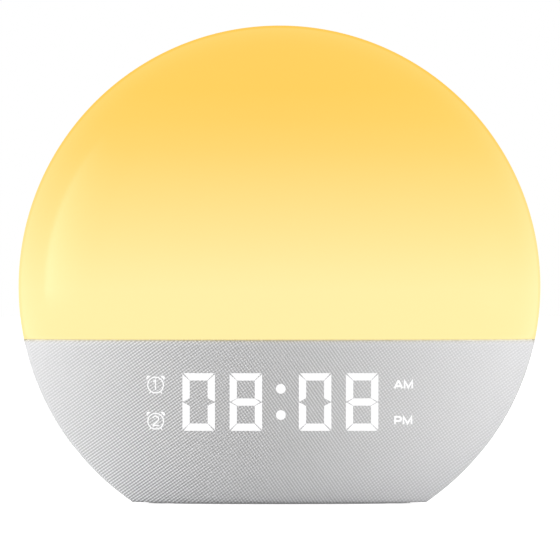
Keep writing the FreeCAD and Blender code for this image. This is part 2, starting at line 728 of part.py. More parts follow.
def make_speaker():
    """A small square framed speaker that fires through the grille."""
    height = S["speaker_height"]
    front = BACK_INNER - 2
    gasket = turned("speaker_gasket_ring", [(16.5, 0), (19.5, 0), (19.5, 2), (16.5, 2)])
    keep(put(gasket, 0, front, height, "rear"), "speaker_gasket")
    flange = padded("speaker_flange", 1.2, corners=rectangle(S["speaker_width"], S["speaker_width"]),
                    holes=[(0, 0, 17)] + [(x, z, 1.2) for x in (-17.5, 17.5) for z in (-17.5, 17.5)])
    put(flange, 0, front - 1.2, height, "rear")
    basket = put(turned("speaker_bowl", [(17, 0.6), (18.2, 0.6), (18.2, -1.2), (10.5, -8), (6.5, -8),
                                        (6.5, -7), (9.8, -7), (17, -0.6)]), 0, front - 1.2, height, "rear")
    keep(fuse("speaker_frame_form", [flange, basket]), "speaker_frame")
    magnet = turned("speaker_magnet_body", [(0, -14), (10, -14), (10, -13), (11, -13), (11, -8.1),
                                            (6, -8.1), (6, -6), (0, -6)])
    keep(put(magnet, 0, front - 1.2, height, "rear"), "speaker_magnet")
    cone = turned("speaker_cone_body", [(0, -3.6), (5, -5), (6, -5), (15, 0.2), (16.8, 0.2), (16.8, 0.6),
                                        (14.8, 0.6), (5.6, -4.5), (3, -3), (0, -2.6)])
    keep(put(cone, 0, front - 1.2, height, "rear"), "speaker_cone")
    screws("speaker_screws", [(x, front - 1.2, z) for x, z in speaker_corners()], "rear", 1, 4.2, 1.9, 1.3)


def make_inlet():
    """The power socket on its own little board, with its mouth just inside the back."""
    x, z = S["inlet_x"], S["inlet_height"]
    mouth = S["back_y"] - 0.8
    start = mouth - S["inlet_length"]
    shell = put(rounded_pad("inlet_shell_outer", S["inlet_width"], S["inlet_thick"], S["inlet_length"]),
                x, start, z, "rear")
    hollow = put(rounded_pad("inlet_shell_inner", S["inlet_width"] - 0.6, S["inlet_thick"] - 0.6,
                             S["inlet_length"]), x, start + 0.6, z, "rear")
    keep(cut("inlet_shell_form", shell, hollow), "inlet_shell")
    tongue = block("inlet_tongue_form", (x - 3.35, x + 3.35), (start + 0.6, mouth - 0.9), (z - 0.35, z + 0.35))
    keep(tongue, "inlet_tongue")
    under = z - S["inlet_thick"] / 2
    board = padded("inlet_board_body", S["board_thickness"], corners=rectangle(17, 18),
                   holes=[(-6.5, -2, 1.2), (6.5, -2, 1.2)])
    keep(put(board, x, 38.6, under - S["board_thickness"]), "inlet_board")
    screws("inlet_board_screws", [(x + across, 36.6, under) for across in (-6.5, 6.5)], "down", 1, 4.5, 1.6, 1.2)


# Foot

def foot_slice(name, gap, low, high):
    """What lies inside the shells between two low heights."""
    room = fuse(f"{name}_room", [round_half(f"{name}_front", "front", SHELL + gap),
                                 round_half(f"{name}_rear", "rear", S["housing_wall"] + gap)])
    return common(f"{name}_form", [room, block(f"{name}_limits", WIDE, (-60, 60), (low, high))])


def door_lug(name, radius, low, high, turn, width):
    """Two opposite lugs at the edge of the battery door, turned about its middle."""
    bar = block(name, (-sized(radius), radius), (-sized(width) / 2, sized(width) / 2), (0, sized(high) - low))
    bar.Placement = Placement(Vector(), Rotation(Vector(0, 0, 1), turn))
    middle = cut(f"{name}_pair", bar, rod(f"{name}_middle", S["door_radius"] - 1, 10, 0, 0, -2))
    trimmed = common(f"{name}_trimmed", [middle, rod(f"{name}_edge", radius, 10, 0, 0, -2)])
    return put(trimmed, 0, S["cell_y"], low)


def make_foot():
    y = S["cell_y"]
    pad_holes = [rod("pad_door_hole", S["door_radius"] + 2.2, 4, 0, y, -1)]
    pad_holes += [rod(f"pad_screw_hole_{number}", 3.4, 4, x, across, -1)
                  for number, (x, across) in enumerate(FOOT_SCREWS)]
    pad = foot_slice("pad", 0.4, 0, S["pad_thickness"])
    keep(cut("pad_cut", pad, group("pad_holes", pad_holes)), "base_pad")

    plate = foot_slice("plate", 0.2, PLATE_BOTTOM, PLATE_TOP)
    stands = [rod(f"board_stand_{number}", 3, S["main_board_z"] - PLATE_TOP + 0.5, x, across, PLATE_TOP - 0.5)
              for number, (x, across) in enumerate(main_board_screw_places())]
    body = fuse("plate_body", [plate] + stands)
    holes = [rod("plate_door_hole", S["door_radius"] + 0.3, 6, 0, y, 0),
             door_lug("plate_notch", S["door_radius"] + 2.1, 0, 6, -45, 6)]
    for number, (x, across) in enumerate(FOOT_SCREWS):
        holes.append(rod(f"plate_screw_sink_{number}", 2.9, 3.4, x, across, 0))
        holes.append(rod(f"plate_screw_hole_{number}", 1.7, 6, x, across, 0))
    for number, (x, across) in enumerate(main_board_screw_places()):
        holes.append(rod(f"board_pilot_{number}", 1, 6, x, across, S["main_board_z"] - 5.5))
    holes = fuse("plate_holes", holes)
    keep(cut("plate_cut", body, holes), "base_plate")
    screws("base_screws", [(x, across, 3.4) for x, across in FOOT_SCREWS], "up", 1.4, 7.5, 2.6, 1.5)

    radius = S["door_radius"]
    disc = put(turned("door_disc", [(0, 0), (radius - 0.4, 0), (radius, 0.4), (radius, 3.1), (8, 3.1),
                                    (8, 3.8), (0, 3.8)]), 0, y, 1.2)
    lugs = door_lug("door_lugs", radius + 1.8, PLATE_TOP + 0.3, PLATE_TOP + 1, 0, 5)
    neck = cut("door_neck", rod("door_neck_outer", radius, 1.5, 0, y, 4.2), rod("door_neck_inner", 9, 3, 0, y, 3.6))
    slot = block("door_slot", (-7, 7), (y - 0.9, y + 0.9), (0, 2.1))
    keep(cut("door_cut", fuse("door_form", [disc, neck, lugs]), slot), "battery_door")
    reach, thick = S["cell_radius"], S["cell_thickness"]
    cell = turned("coin_cell_body", [(0, 0), (reach - 2.2, 0), (reach - 1.8, 0.4), (reach, 0.6),
                                     (reach, thick), (0, thick)])
    keep(put(cell, 0, y, 6), "coin_cell")
    holder = turned("cell_holder_body", [(12.9, 0), (14.6, 0), (14.6, 6.6), (0, 6.6), (0, 5.6),
                                         (10.3, 5.6), (10.3, 1.6), (12.9, 1.6)])
    keep(put(holder, 0, y, PLATE_TOP), "cell_holder")
    spring = block("cell_contact_form", (-6, 6), (y - 2, y + 2), (9.3, 9.7))
    keep(spring, "cell_contact")


# Main board

def main_board_screw_places():
    return [(x, y) for x in (-28.5, 28.5) for y in (-12.5, 14)]


def make_main_board():
    low = S["main_board_z"]
    top = low + S["board_thickness"]
    board = padded("main_board_body", S["board_thickness"],
                   corners=rectangle(S["main_board_width"], S["main_board_depth"]),
                   holes=[(x, y - 1, 1.3) for x, y in main_board_screw_places()])
    keep(put(board, 0, 1, low), "main_board")
    screws("main_board_screws", [(x, y, top) for x, y in main_board_screw_places()], "down", 1.1, 6, 2.2, 1.4)
    chips = [block(f"chip_{number}", (x - half, x + half), (y - half, y + half), (top, top + 1.4))
             for number, (x, y, half) in enumerate(((3, -3, 5), (-14, -7, 3), (14, 2, 2.5), (-22, -3, 2.5)))]
    keep(group("chip_group", chips), "main_chips", len(chips))
    cans = [rod(f"capacitor_{number}", 3.15, 7.7, x, y, top) for number, (x, y) in enumerate(((-8, -12), (-4, 12)))]
    keep(group("capacitor_group", cans), "capacitors", len(cans))
    keep(block("crystal_can", (12, 16), (-12, -8), (top, top + 3.5)), "clock_crystal")


# Leads

def lead(label, points, radius=0.9):
    """A round lead along straight runs, with an arc at each turn as large as its runs allow."""
    points = [Vector(*point) for point in points]
    edges = []
    start = points[0]
    radii = []
    for before, corner, after in zip(points, points[1:], points[2:]):
        run_in, run_out = corner - before, after - corner
        turn = run_in.getAngle(run_out)
        reach = 0.45 * min(run_in.Length, run_out.Length)
        radii.append(reach / math.tan(turn / 2))
        first = corner - run_in.normalize() * reach
        last = corner + run_out.normalize() * reach
        bulge = (first + last) / 2 - corner
        middle = corner + bulge.normalize() * (radii[-1] / math.cos(turn / 2) - radii[-1])
        edges.append(Part.makeLine(start, first))
        edges.append(Part.Arc(first, middle, last).toShape())
        start = last
    edges.append(Part.makeLine(start, points[-1]))
    path = Part.Wire(edges)
    ring = Part.Wire(Part.makeCircle(radius, points[0], points[1] - points[0]))
    tube = path.makePipeShell([ring], True, False)
    print(label, "radii", [round(value, 1) for value in radii],
          "volume ratio", round(tube.Volume / (math.pi * radius ** 2 * path.Length), 4))
    made = doc.addObject("Part::Feature", f"{label}_tube")
    made.Shape = tube
    made.Placement = Placement()
    keep(made, label)


def make_leads():
    """Internal leads from the main board, and the plugs at their ends."""
    top = S["main_board_z"].number + S["board_thickness"].number
    plug_top = top + 4
    lead("lamp_lead", [(-14, 9.2, 70), (-14, 17, 70), (-14, 20, 50), (-14, 8, 32), (-14, 8, plug_top)])
    lead("display_lead", [(20, -17.2, 32), (20, -11.5, 32), (20, -8, 28), (20, -8, plug_top)])
    lead("key_lead", [(8, 34.4, 79), (8, 25, 79), (8, 20, 60), (8, 9, 36), (8, 9, plug_top)])
    lead("speaker_lead", [(17.5, 43.5, 29), (20, 34, 27), (24, 22, 26), (25, 8, 27), (25, 8, plug_top)])
    lead("power_lead", [(-32, 29.5, 33.6), (-31, 20, 33.6), (-26, 8, 31), (-26, 8, plug_top)])
    plugs = [block(f"board_plug_{number}", (x - 3, x + 3), (y - 2.2, y + 2.2), (top, plug_top))
             for number, (x, y) in enumerate(((-14, 8), (20, -8), (8, 9), (25, 8), (-26, 8)))]
    plugs.append(block("lamp_plug", (-17, -11), (S["parting_y"], 9.2), (68, 72)))
    plugs.append(block("display_plug", (17, 23), (BOARD_BACK, -17.2), (30, 34)))
    plugs.append(block("key_plug", (5, 11), (34.4, S["key_board_y"] - S["board_thickness"]), (77, 81)))
    keep(group("plug_group", plugs), "lead_plugs", len(plugs))


def check_and_write():
    """Stop at anything that failed, then write one file for each sub-part."""
    doc.recompute()
    for thing in doc.Objects:
        if "Invalid" in thing.State or "Error" in thing.State:
            raise RuntimeError(f"{thing.Label} failed: {thing.State}")
    for thing in sub_parts:
        shape = thing.Shape
        if shape.isNull() or not shape.isValid():
            raise RuntimeError(f"{thing.Label} has no valid shape")
        if len(shape.Solids) != solids_wanted[thing.Label]:
            raise RuntimeError(f"{thing.Label} has {len(shape.Solids)} solids")
    os.makedirs("parts", exist_ok=True)
    for thing in sub_parts:
        thing.Shape.exportStep(f"parts/{thing.Label}.step")
    print(len(sub_parts), "sub-parts written")


make_dome()
make_cloth()
make_base_shell()
make_frame()
make_lamp()
make_display()
make_rear_housing()
make_keys()
make_key_board()
make_speaker()
make_inlet()
make_foot()
make_main_board()
make_leads()
check_and_write()
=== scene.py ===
"""Looks of a round sunrise alarm clock: a lit opal dome over a woven cloth front with a display."""
import math

import bmesh
import bpy
from bpy.props import FloatProperty, FloatVectorProperty, IntProperty, PointerProperty, StringProperty
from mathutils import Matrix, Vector


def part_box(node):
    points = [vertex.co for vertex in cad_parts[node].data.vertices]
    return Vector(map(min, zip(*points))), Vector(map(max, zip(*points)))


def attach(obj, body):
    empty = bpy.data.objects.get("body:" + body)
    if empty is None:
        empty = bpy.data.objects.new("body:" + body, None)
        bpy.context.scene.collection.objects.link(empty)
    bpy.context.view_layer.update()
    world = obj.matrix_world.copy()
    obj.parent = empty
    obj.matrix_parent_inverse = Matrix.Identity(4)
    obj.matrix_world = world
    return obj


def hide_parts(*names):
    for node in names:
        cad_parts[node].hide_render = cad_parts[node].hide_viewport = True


bl_info = {
    "name": "Sunrise alarm clock",
    "version": (1, 0, 0),
    "blender": (4, 5, 0),
    "location": "View3D > Sidebar > Alarm clock",
    "description": "Dresses the alarm clock's frame with its dome, cloth, display and finishes",
    "category": "Object",
}

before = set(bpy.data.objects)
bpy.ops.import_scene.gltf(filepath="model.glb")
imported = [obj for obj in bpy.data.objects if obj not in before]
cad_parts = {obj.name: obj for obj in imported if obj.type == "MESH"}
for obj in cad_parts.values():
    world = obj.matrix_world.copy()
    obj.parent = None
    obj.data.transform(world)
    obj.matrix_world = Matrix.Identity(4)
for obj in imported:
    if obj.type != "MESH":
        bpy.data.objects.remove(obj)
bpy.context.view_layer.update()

MM = 0.001
# Width of the photograph, and of the body in it
PHOTO_PIXELS = 560
BODY_PIXELS = 522.2


def node_box(name):
    """Lowest and highest corner of a node of the frame."""
    low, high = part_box(name)
    return Vector(low), Vector(high)


# Places worked out from the frame
DOME_LOW, DOME_HIGH = node_box("light_dome")
CLOTH_LOW, CLOTH_HIGH = node_box("fabric_cover")
HOUSING_FRONT = node_box("rear_housing")[0].y
KEY_BACK = node_box("key_plus")[1].y
# How far the keys stand out of the back
KEY_PROUD = 1.6 * MM
BODY_RADIUS = 90 * MM
CENTRE_HEIGHT = DOME_HIGH.z - BODY_RADIUS
PARTING_Y = (DOME_HIGH.y + HOUSING_FRONT) / 2
FRONT_DEPTH = PARTING_Y - DOME_LOW.y
BACK_Y = KEY_BACK - KEY_PROUD
# Heights where the glow's colour starts to deepen and where it is deepest
GLOW_LOW = CENTRE_HEIGHT - 1.2 * MM
GLOW_HIGH = CENTRE_HEIGHT + 67.7 * MM
# Depth of the dish in a key's cap, and how far print stands off its face
CAP_DISH = 0.25 * MM
INK_LIFT = 0.05 * MM
# The cloth's threads follow the front view up to this share of its half width
FRONTAL_SHARE = 0.985
# Corners of a mesh that are nearer than this, in metres, are one corner
SAME_PLACE = 1e-6
# The camera's distance, its height and how far it stands to the right
VIEW_DISTANCE = 6.0
VIEW_HEIGHT = 76.86 * MM
CAMERA_ASIDE = 0.17 * MM
# How far the display lies behind the foremost point of the front
DISPLAY_SET_BACK = 7 * MM
# The display is nearer to the camera than the widest part, so it is drawn this much smaller
NEARNESS = 1 - (FRONT_DEPTH - DISPLAY_SET_BACK) / VIEW_DISTANCE
# The floor lies this far below the pad, so that the two never share a plane
FLOOR_DROP = 0.3 * MM


# Settings a user would change

class DomeSettings(bpy.types.PropertyGroup):
    """The opal dome and its glow"""
    wall: FloatProperty(name="Wall", description="Thickness of the opal dome", default=2.4 * MM,
                        subtype="DISTANCE", unit="LENGTH")
    rows: IntProperty(name="Rows", description="Rows of the dome's mesh from seam to top", default=72,
                      min=8)
    columns: IntProperty(name="Columns", description="Columns of the dome's mesh", default=128, min=16)
    glow: FloatProperty(name="Glow", description="Brightness of the lit dome", default=1.0, min=0)
    top_colour: FloatVectorProperty(name="Top colour", description="Deep amber at the top of the dome",
                                    default=(0.98, 0.605, 0.108), subtype="COLOR", size=3, min=0, max=1)
    low_colour: FloatVectorProperty(name="Low colour", description="Pale yellow above the seam",
                                    default=(0.98, 0.840, 0.390), subtype="COLOR", size=3, min=0, max=1)


class ClothSettings(bpy.types.PropertyGroup):
    """The cloth and its weave"""
    thickness: FloatProperty(name="Thickness", description="Thickness of the cloth", default=0.6 * MM,
                             subtype="DISTANCE", unit="LENGTH")
    pitch: FloatProperty(name="Weave pitch", description="Distance between two threads", default=0.927 * MM,
                         subtype="DISTANCE", unit="LENGTH")
    slant: FloatProperty(name="Slant", description="Slope of the weave's rising lines",
                         default=math.radians(35), subtype="ANGLE", unit="ROTATION")
    colour: FloatVectorProperty(name="Colour", description="Light grey of the yarn",
                                default=(0.60, 0.60, 0.61), subtype="COLOR", size=3, min=0, max=1)
    rows: IntProperty(name="Rows", description="Rows of the cloth's mesh", default=48, min=8)
    columns: IntProperty(name="Columns", description="Columns of the cloth's mesh", default=160, min=16)


class DisplaySettings(bpy.types.PropertyGroup):
    """The lit figures on the cloth"""
    middle: FloatProperty(name="Middle height", description="Height of the middle of the digits",
                          default=34.76 * MM, subtype="DISTANCE", unit="LENGTH")
    tall: FloatProperty(name="Digit height", description="Height of a digit", default=19.9 * MM,
                        subtype="DISTANCE", unit="LENGTH")
    wide: FloatProperty(name="Digit width", description="Width of a digit", default=11.2 * MM,
                        subtype="DISTANCE", unit="LENGTH")
    bar: FloatProperty(name="Bar", description="Width of one lit bar", default=2.5 * MM,
                       subtype="DISTANCE", unit="LENGTH")
    gap: FloatProperty(name="Gap", description="Dark hairline between two bars", default=0.11 * MM,
                       subtype="DISTANCE", unit="LENGTH")
    lift: FloatProperty(name="Lift", description="How far the lit figures stand off the cloth",
                        default=0.05 * MM, subtype="DISTANCE", unit="LENGTH")
    shown: StringProperty(name="Time", description="The four digits that are lit", default="0808")
    glow: FloatProperty(name="Glow", description="Brightness of the lit figures", default=0.97, min=0)


class ShellSettings(bpy.types.PropertyGroup):
    """Colours of the shells and keys"""
    colour: FloatVectorProperty(name="Shell colour", description="White of the rear housing",
                                default=(0.70, 0.70, 0.69), subtype="COLOR", size=3, min=0, max=1)
    key_colour: FloatVectorProperty(name="Key colour", description="Pale grey of the keys",
                                    default=(0.46, 0.46, 0.47), subtype="COLOR", size=3, min=0, max=1)
    mark_colour: FloatVectorProperty(name="Mark colour", description="Dark grey of the marks on the keys",
                                     default=(0.03, 0.03, 0.032), subtype="COLOR", size=3, min=0, max=1)


class StageSettings(bpy.types.PropertyGroup):
    """The camera and what it takes in"""
    distance: FloatProperty(name="Camera distance", description="Distance from the camera to the clock",
                            default=VIEW_DISTANCE, subtype="DISTANCE", unit="LENGTH")
    view_width: FloatProperty(name="View width", description="Width that the photograph takes in",
                              default=PHOTO_PIXELS / BODY_PIXELS * 2 * BODY_RADIUS,
                              subtype="DISTANCE", unit="LENGTH")
    view_height: FloatProperty(name="View height", description="Height of the middle of the photograph",
                               default=VIEW_HEIGHT, subtype="DISTANCE", unit="LENGTH")


# Surfaces of the rounded body

def front_point(turn, fall, inset=0.0):
    """A point of the front half: turn from left to right, fall from the top down, both in radians."""
    ring = math.sin(fall)
    x = (BODY_RADIUS - inset) * ring * math.sin(turn)
    y = PARTING_Y - (FRONT_DEPTH - inset) * ring * math.cos(turn)
    z = CENTRE_HEIGHT + (BODY_RADIUS - inset) * math.cos(fall)
    return Vector((x, y, z))


def fall_at(height, inset=0.0):
    """How far down from the top a height lies, as an angle."""
    share = (height - CENTRE_HEIGHT) / (BODY_RADIUS - inset)
    return math.acos(max(-1.0, min(1.0, share)))


def front_surface_y(x, z, proud=0.0):
    """Where the outer surface lies straight behind a point of the front view."""
    share = 1 - (x ** 2 + (z - CENTRE_HEIGHT) ** 2) / (BODY_RADIUS + proud) ** 2
    return PARTING_Y - (FRONT_DEPTH + proud) * math.sqrt(max(0.0, share))


def new_object(name):
    """An empty mesh object in the scene."""
    thing = bpy.data.objects.new(name, bpy.data.meshes.new(name))
    bpy.context.scene.collection.objects.link(thing)
    return thing


def new_piece(name, body="clock"):
    """An empty mesh object that rides on a body."""
    piece = new_object(name)
    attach(piece, body)
    return piece


def fill(thing, made):
    """Put a finished bmesh into an object."""
    made.to_mesh(thing.data)
    made.free()


def add_face(made, corners):
    """One face, left out where its corners fall together."""
    if len({tuple(round(value, 7) for value in vert.co) for vert in corners}) < 3:
        return
    made.faces.new(corners)


def lay_lengths(made, lengths):
    """Give the skin a map that follows the front view and, close to the sides, the length of the cloth."""
    for one in made.faces:
        for loop in one.loops:
            place = loop.vert.co
            bend = FRONTAL_SHARE * BODY_RADIUS * math.sin(fall_at(place.z))
            along = abs(place.x)
            if along > bend:
                along = bend + math.hypot(along - bend, place.y - front_surface_y(bend, place.z))
            loop[lengths].uv = (math.copysign(along, place.x), place.z)


def front_skin(name, low, high, thickness, rows, columns, edge=0.0):
    """A closed skin of the front half between two heights, its edges rolled over by a small radius."""
    piece = new_piece(name)
    made = bmesh.new()
    lengths = made.loops.layers.uv.new("cloth_lengths")
    reach = math.acos((PARTING_Y - DOME_HIGH.y) / FRONT_DEPTH)
    sheets = []
    for inset in (0.0, thickness):
        sheet = []
        for row in range(rows + 1):
            share = row / rows
            fall = fall_at(high) + (fall_at(low) - fall_at(high)) * share
            height = CENTRE_HEIGHT + BODY_RADIUS * math.cos(fall)
            near = min(share, 1 - share) * (high - low)
            dip = edge * (1 - math.sqrt(1 - (1 - near / edge) ** 2)) if edge and near < edge else 0.0
            inner = inset + (dip if inset == 0.0 else 0.0)
            fall = fall_at(height, inner)
            line = []
            for column in range(columns + 1):
                turn = -reach + 2 * reach * column / columns
                line.append(made.verts.new(front_point(turn, fall, inner)))
            sheet.append(line)
        sheets.append(sheet)
    outer, inner = sheets
    for row in range(rows):
        for column in range(columns):
            a, b = outer[row][column], outer[row][column + 1]
            c, d = outer[row + 1][column + 1], outer[row + 1][column]
            add_face(made, [a, d, c, b])
            a, b = inner[row][column], inner[row][column + 1]
            c, d = inner[row + 1][column + 1], inner[row + 1][column]
            add_face(made, [a, b, c, d])
    for column in range(columns):
        after = column + 1
        add_face(made, [outer[rows][column], inner[rows][column], inner[rows][after], outer[rows][after]])
        add_face(made, [outer[0][after], inner[0][after], inner[0][column], outer[0][column]])
    for row in range(rows):
        below = row + 1
        add_face(made, [outer[row][0], inner[row][0], inner[below][0], outer[below][0]])
        add_face(made, [outer[below][-1], inner[below][-1], inner[row][-1], outer[row][-1]])
    bmesh.ops.remove_doubles(made, verts=made.verts, dist=SAME_PLACE)
    bmesh.ops.recalc_face_normals(made, faces=made.faces)
    lay_lengths(made, lengths)
    fill(piece, made)
    piece.data.polygons.foreach_set("use_smooth", [True] * len(piece.data.polygons))
    return piece


def project_figures(name, outlines, lift, step):
    """Flat figures of the front view, cut fine and laid on the front surface."""
    piece = new_piece(name)
    made = bmesh.new()
    for outline in outlines:
        corners = [made.verts.new((x, 0.0, z)) for x, z in outline]
        made.faces.new(corners)
    lay_on_front(made, lift, step)
    fill(piece, made)
    return piece


def lay_on_front(made, lift, step):
    """Slice flat faces both ways and push every corner back onto the rounded front."""
    bmesh.ops.triangulate(made, faces=made.faces)
    for axis in (0, 2):
        values = [vert.co[axis] for vert in made.verts]
        low, high = min(values), max(values)
        normal = Vector((1, 0, 0)) if axis == 0 else Vector((0, 0, 1))
        cuts = int((high - low) / step)
        for number in range(1, cuts + 1):
            place = normal * (low + number * step)
            everything = list(made.verts) + list(made.edges) + list(made.faces)
            bmesh.ops.bisect_plane(made, geom=everything, plane_co=place, plane_no=normal)
    for vert in made.verts:
        vert.co.x *= NEARNESS
        vert.co.z = VIEW_HEIGHT + (vert.co.z - VIEW_HEIGHT) * NEARNESS
        vert.co.y = front_surface_y(vert.co.x, vert.co.z, lift)
    for one in made.faces:
        one.normal_update()
        if one.normal.y > 0:
            one.normal_flip()


# Materials

def new_material(name):
    """A material with its node tree and its shader."""
    material = bpy.data.materials.new(name)
    material.use_nodes = True
    return material, material.node_tree, material.node_tree.nodes["Principled BSDF"]


def node(tree, kind, **values):
    """A new node with its properties, and its inputs given by name."""
    made = tree.nodes.new(kind)
    for name, value in values.items():
        if name.startswith("in_"):
            made.inputs[name[3:].replace("_", " ")].default_value = value
        else:
            setattr(made, name, value)
    return made


def new_group(name, inputs, outputs):
    """A shader node group with named sockets."""
    group = bpy.data.node_groups.new(name, "ShaderNodeTree")
    for label, kind, default in inputs:
        socket = group.interface.new_socket(name=label, in_out="INPUT", socket_type=kind)
        if default is not None:
            socket.default_value = default
    for label, kind in outputs:
        group.interface.new_socket(name=label, in_out="OUTPUT", socket_type=kind)
    start = group.nodes.new("NodeGroupInput")
    end = group.nodes.new("NodeGroupOutput")
    return group, start, end


def join(tree, source, target):
    """A link between two sockets."""
    tree.links.new(source, target)


def maths(tree, operation, first, second=None, third=None):
    """A maths node of up to three numbers or sockets, and its result."""
    made = node(tree, "ShaderNodeMath", operation=operation)
    for socket, value in zip(made.inputs, (first, second, third)):
        if value is None:
            continue
        if isinstance(value, (int, float)):
            socket.default_value = value
        else:
            join(tree, value, socket)
    return made.outputs[0]


def multiplied(tree, colour, shade):
    """A colour socket darkened or lightened by a shade."""
    made = node(tree, "ShaderNodeMix", data_type="RGBA", blend_type="MULTIPLY")
    made.inputs[0].default_value = 1.0
    join(tree, colour, made.inputs[6])
    join(tree, shade, made.inputs[7])
    return made.outputs[2]


def between(tree, share, first, second):
    """A colour between two colours, by a share."""
    made = node(tree, "ShaderNodeMix", data_type="RGBA")
    made.inputs[6].default_value = (*first, 1)
    made.inputs[7].default_value = (*second, 1)
    join(tree, share, made.inputs[0])
    return made.outputs[2]


def colour_along(tree, value, stops):
    """A colour that changes along a value between a few stops of (place, colour)."""
    ramp = node(tree, "ShaderNodeValToRGB")
    for number, (place, colour) in enumerate(stops):
        points = ramp.color_ramp.elements
        stop = points[number] if number < 2 else points.new(place)
        stop.position = place
        stop.color = (*colour, 1)
    join(tree, value, ramp.inputs[0])
    return ramp.outputs[0]


def strength_along(tree, value, stops):
    """A grey level that changes along a value between a few stops of (place, level)."""
    return colour_along(tree, value, [(place, (level, level, level)) for place, level in stops])


def seen_strength(tree, directly, otherwise):
    """A strength for what is seen, directly or in and through the clock, over what lights the clock."""
    path = node(tree, "ShaderNodeLightPath")
    seen = maths(tree, "MAXIMUM", path.outputs["Is Camera Ray"], path.outputs["Is Glossy Ray"])
    seen = maths(tree, "MAXIMUM", seen, path.outputs["Is Transmission Ray"])
    return maths(tree, "MULTIPLY_ADD", seen, directly - otherwise, otherwise)


def moulded_skin_group():
    """Fine moulded texture: a little colour drift, roughness drift and a spark eroded height."""
    group, start, end = new_group("Moulded skin", [
        ("Colour", "NodeSocketColor", (0.8, 0.8, 0.8, 1)),
        ("Grain size", "NodeSocketFloat", 2600.0),
        ("Roughness", "NodeSocketFloat", 0.5),
    ], [("Colour", "NodeSocketColor"), ("Roughness", "NodeSocketFloat"), ("Height", "NodeSocketFloat")])
    place = node(group, "ShaderNodeTexCoord")
    grain = node(group, "ShaderNodeTexNoise", in_Detail=2.0, in_Roughness=0.6)
    join(group, place.outputs["Object"], grain.inputs["Vector"])
    join(group, start.outputs["Grain size"], grain.inputs["Scale"])
    drift = node(group, "ShaderNodeTexNoise", in_Scale=26.0, in_Detail=3.0)
    join(group, place.outputs["Object"], drift.inputs["Vector"])
    shade = maths(group, "MULTIPLY_ADD", drift.outputs[0], 0.06, 0.97)
    join(group, multiplied(group, start.outputs["Colour"], shade), end.inputs["Colour"])
    rough = maths(group, "MULTIPLY_ADD", drift.outputs[0], 0.10, start.outputs["Roughness"])
    join(group, maths(group, "SUBTRACT", rough, 0.05), end.inputs["Roughness"])
    join(group, grain.outputs[0], end.inputs["Height"])
    return group


# How strongly each family of threads shows in the colour, from the left side of the clock (0) to its right
# side (1). This is partly painted shade of light from the left raking across the weave, and partly a
# drifting moiré of the two families.
RISING_THREAD_SHADE = ((0.04, 0.35), (0.14, 0.75), (0.24, 1.0), (0.34, 0.80), (0.43, 0.42), (0.52, 0.12),
                  (0.60, 0.08), (0.68, 0.30), (0.90, 0.26))
FALLING_THREAD_SHADE = ((0.05, 0.08), (0.22, 0.30), (0.36, 0.45), (0.44, 0.72), (0.58, 0.66), (0.68, 0.40),
                   (0.80, 0.28), (0.92, 0.14))
# The rising threads' painted shade grows stronger downwards, from the first height to the second, by this
# factor
SHADE_GROWS_FROM = 45 * MM
SHADE_STRONGEST_AT = 8 * MM
SHADE_STRONGEST = 1.32
# How far the threads sway, in radians of their wave, and how bold knots and loose fibres are
THREAD_SWAY = 0.9
KNOT_STRENGTH = 0.35
FUZZ_STRENGTH = 0.35


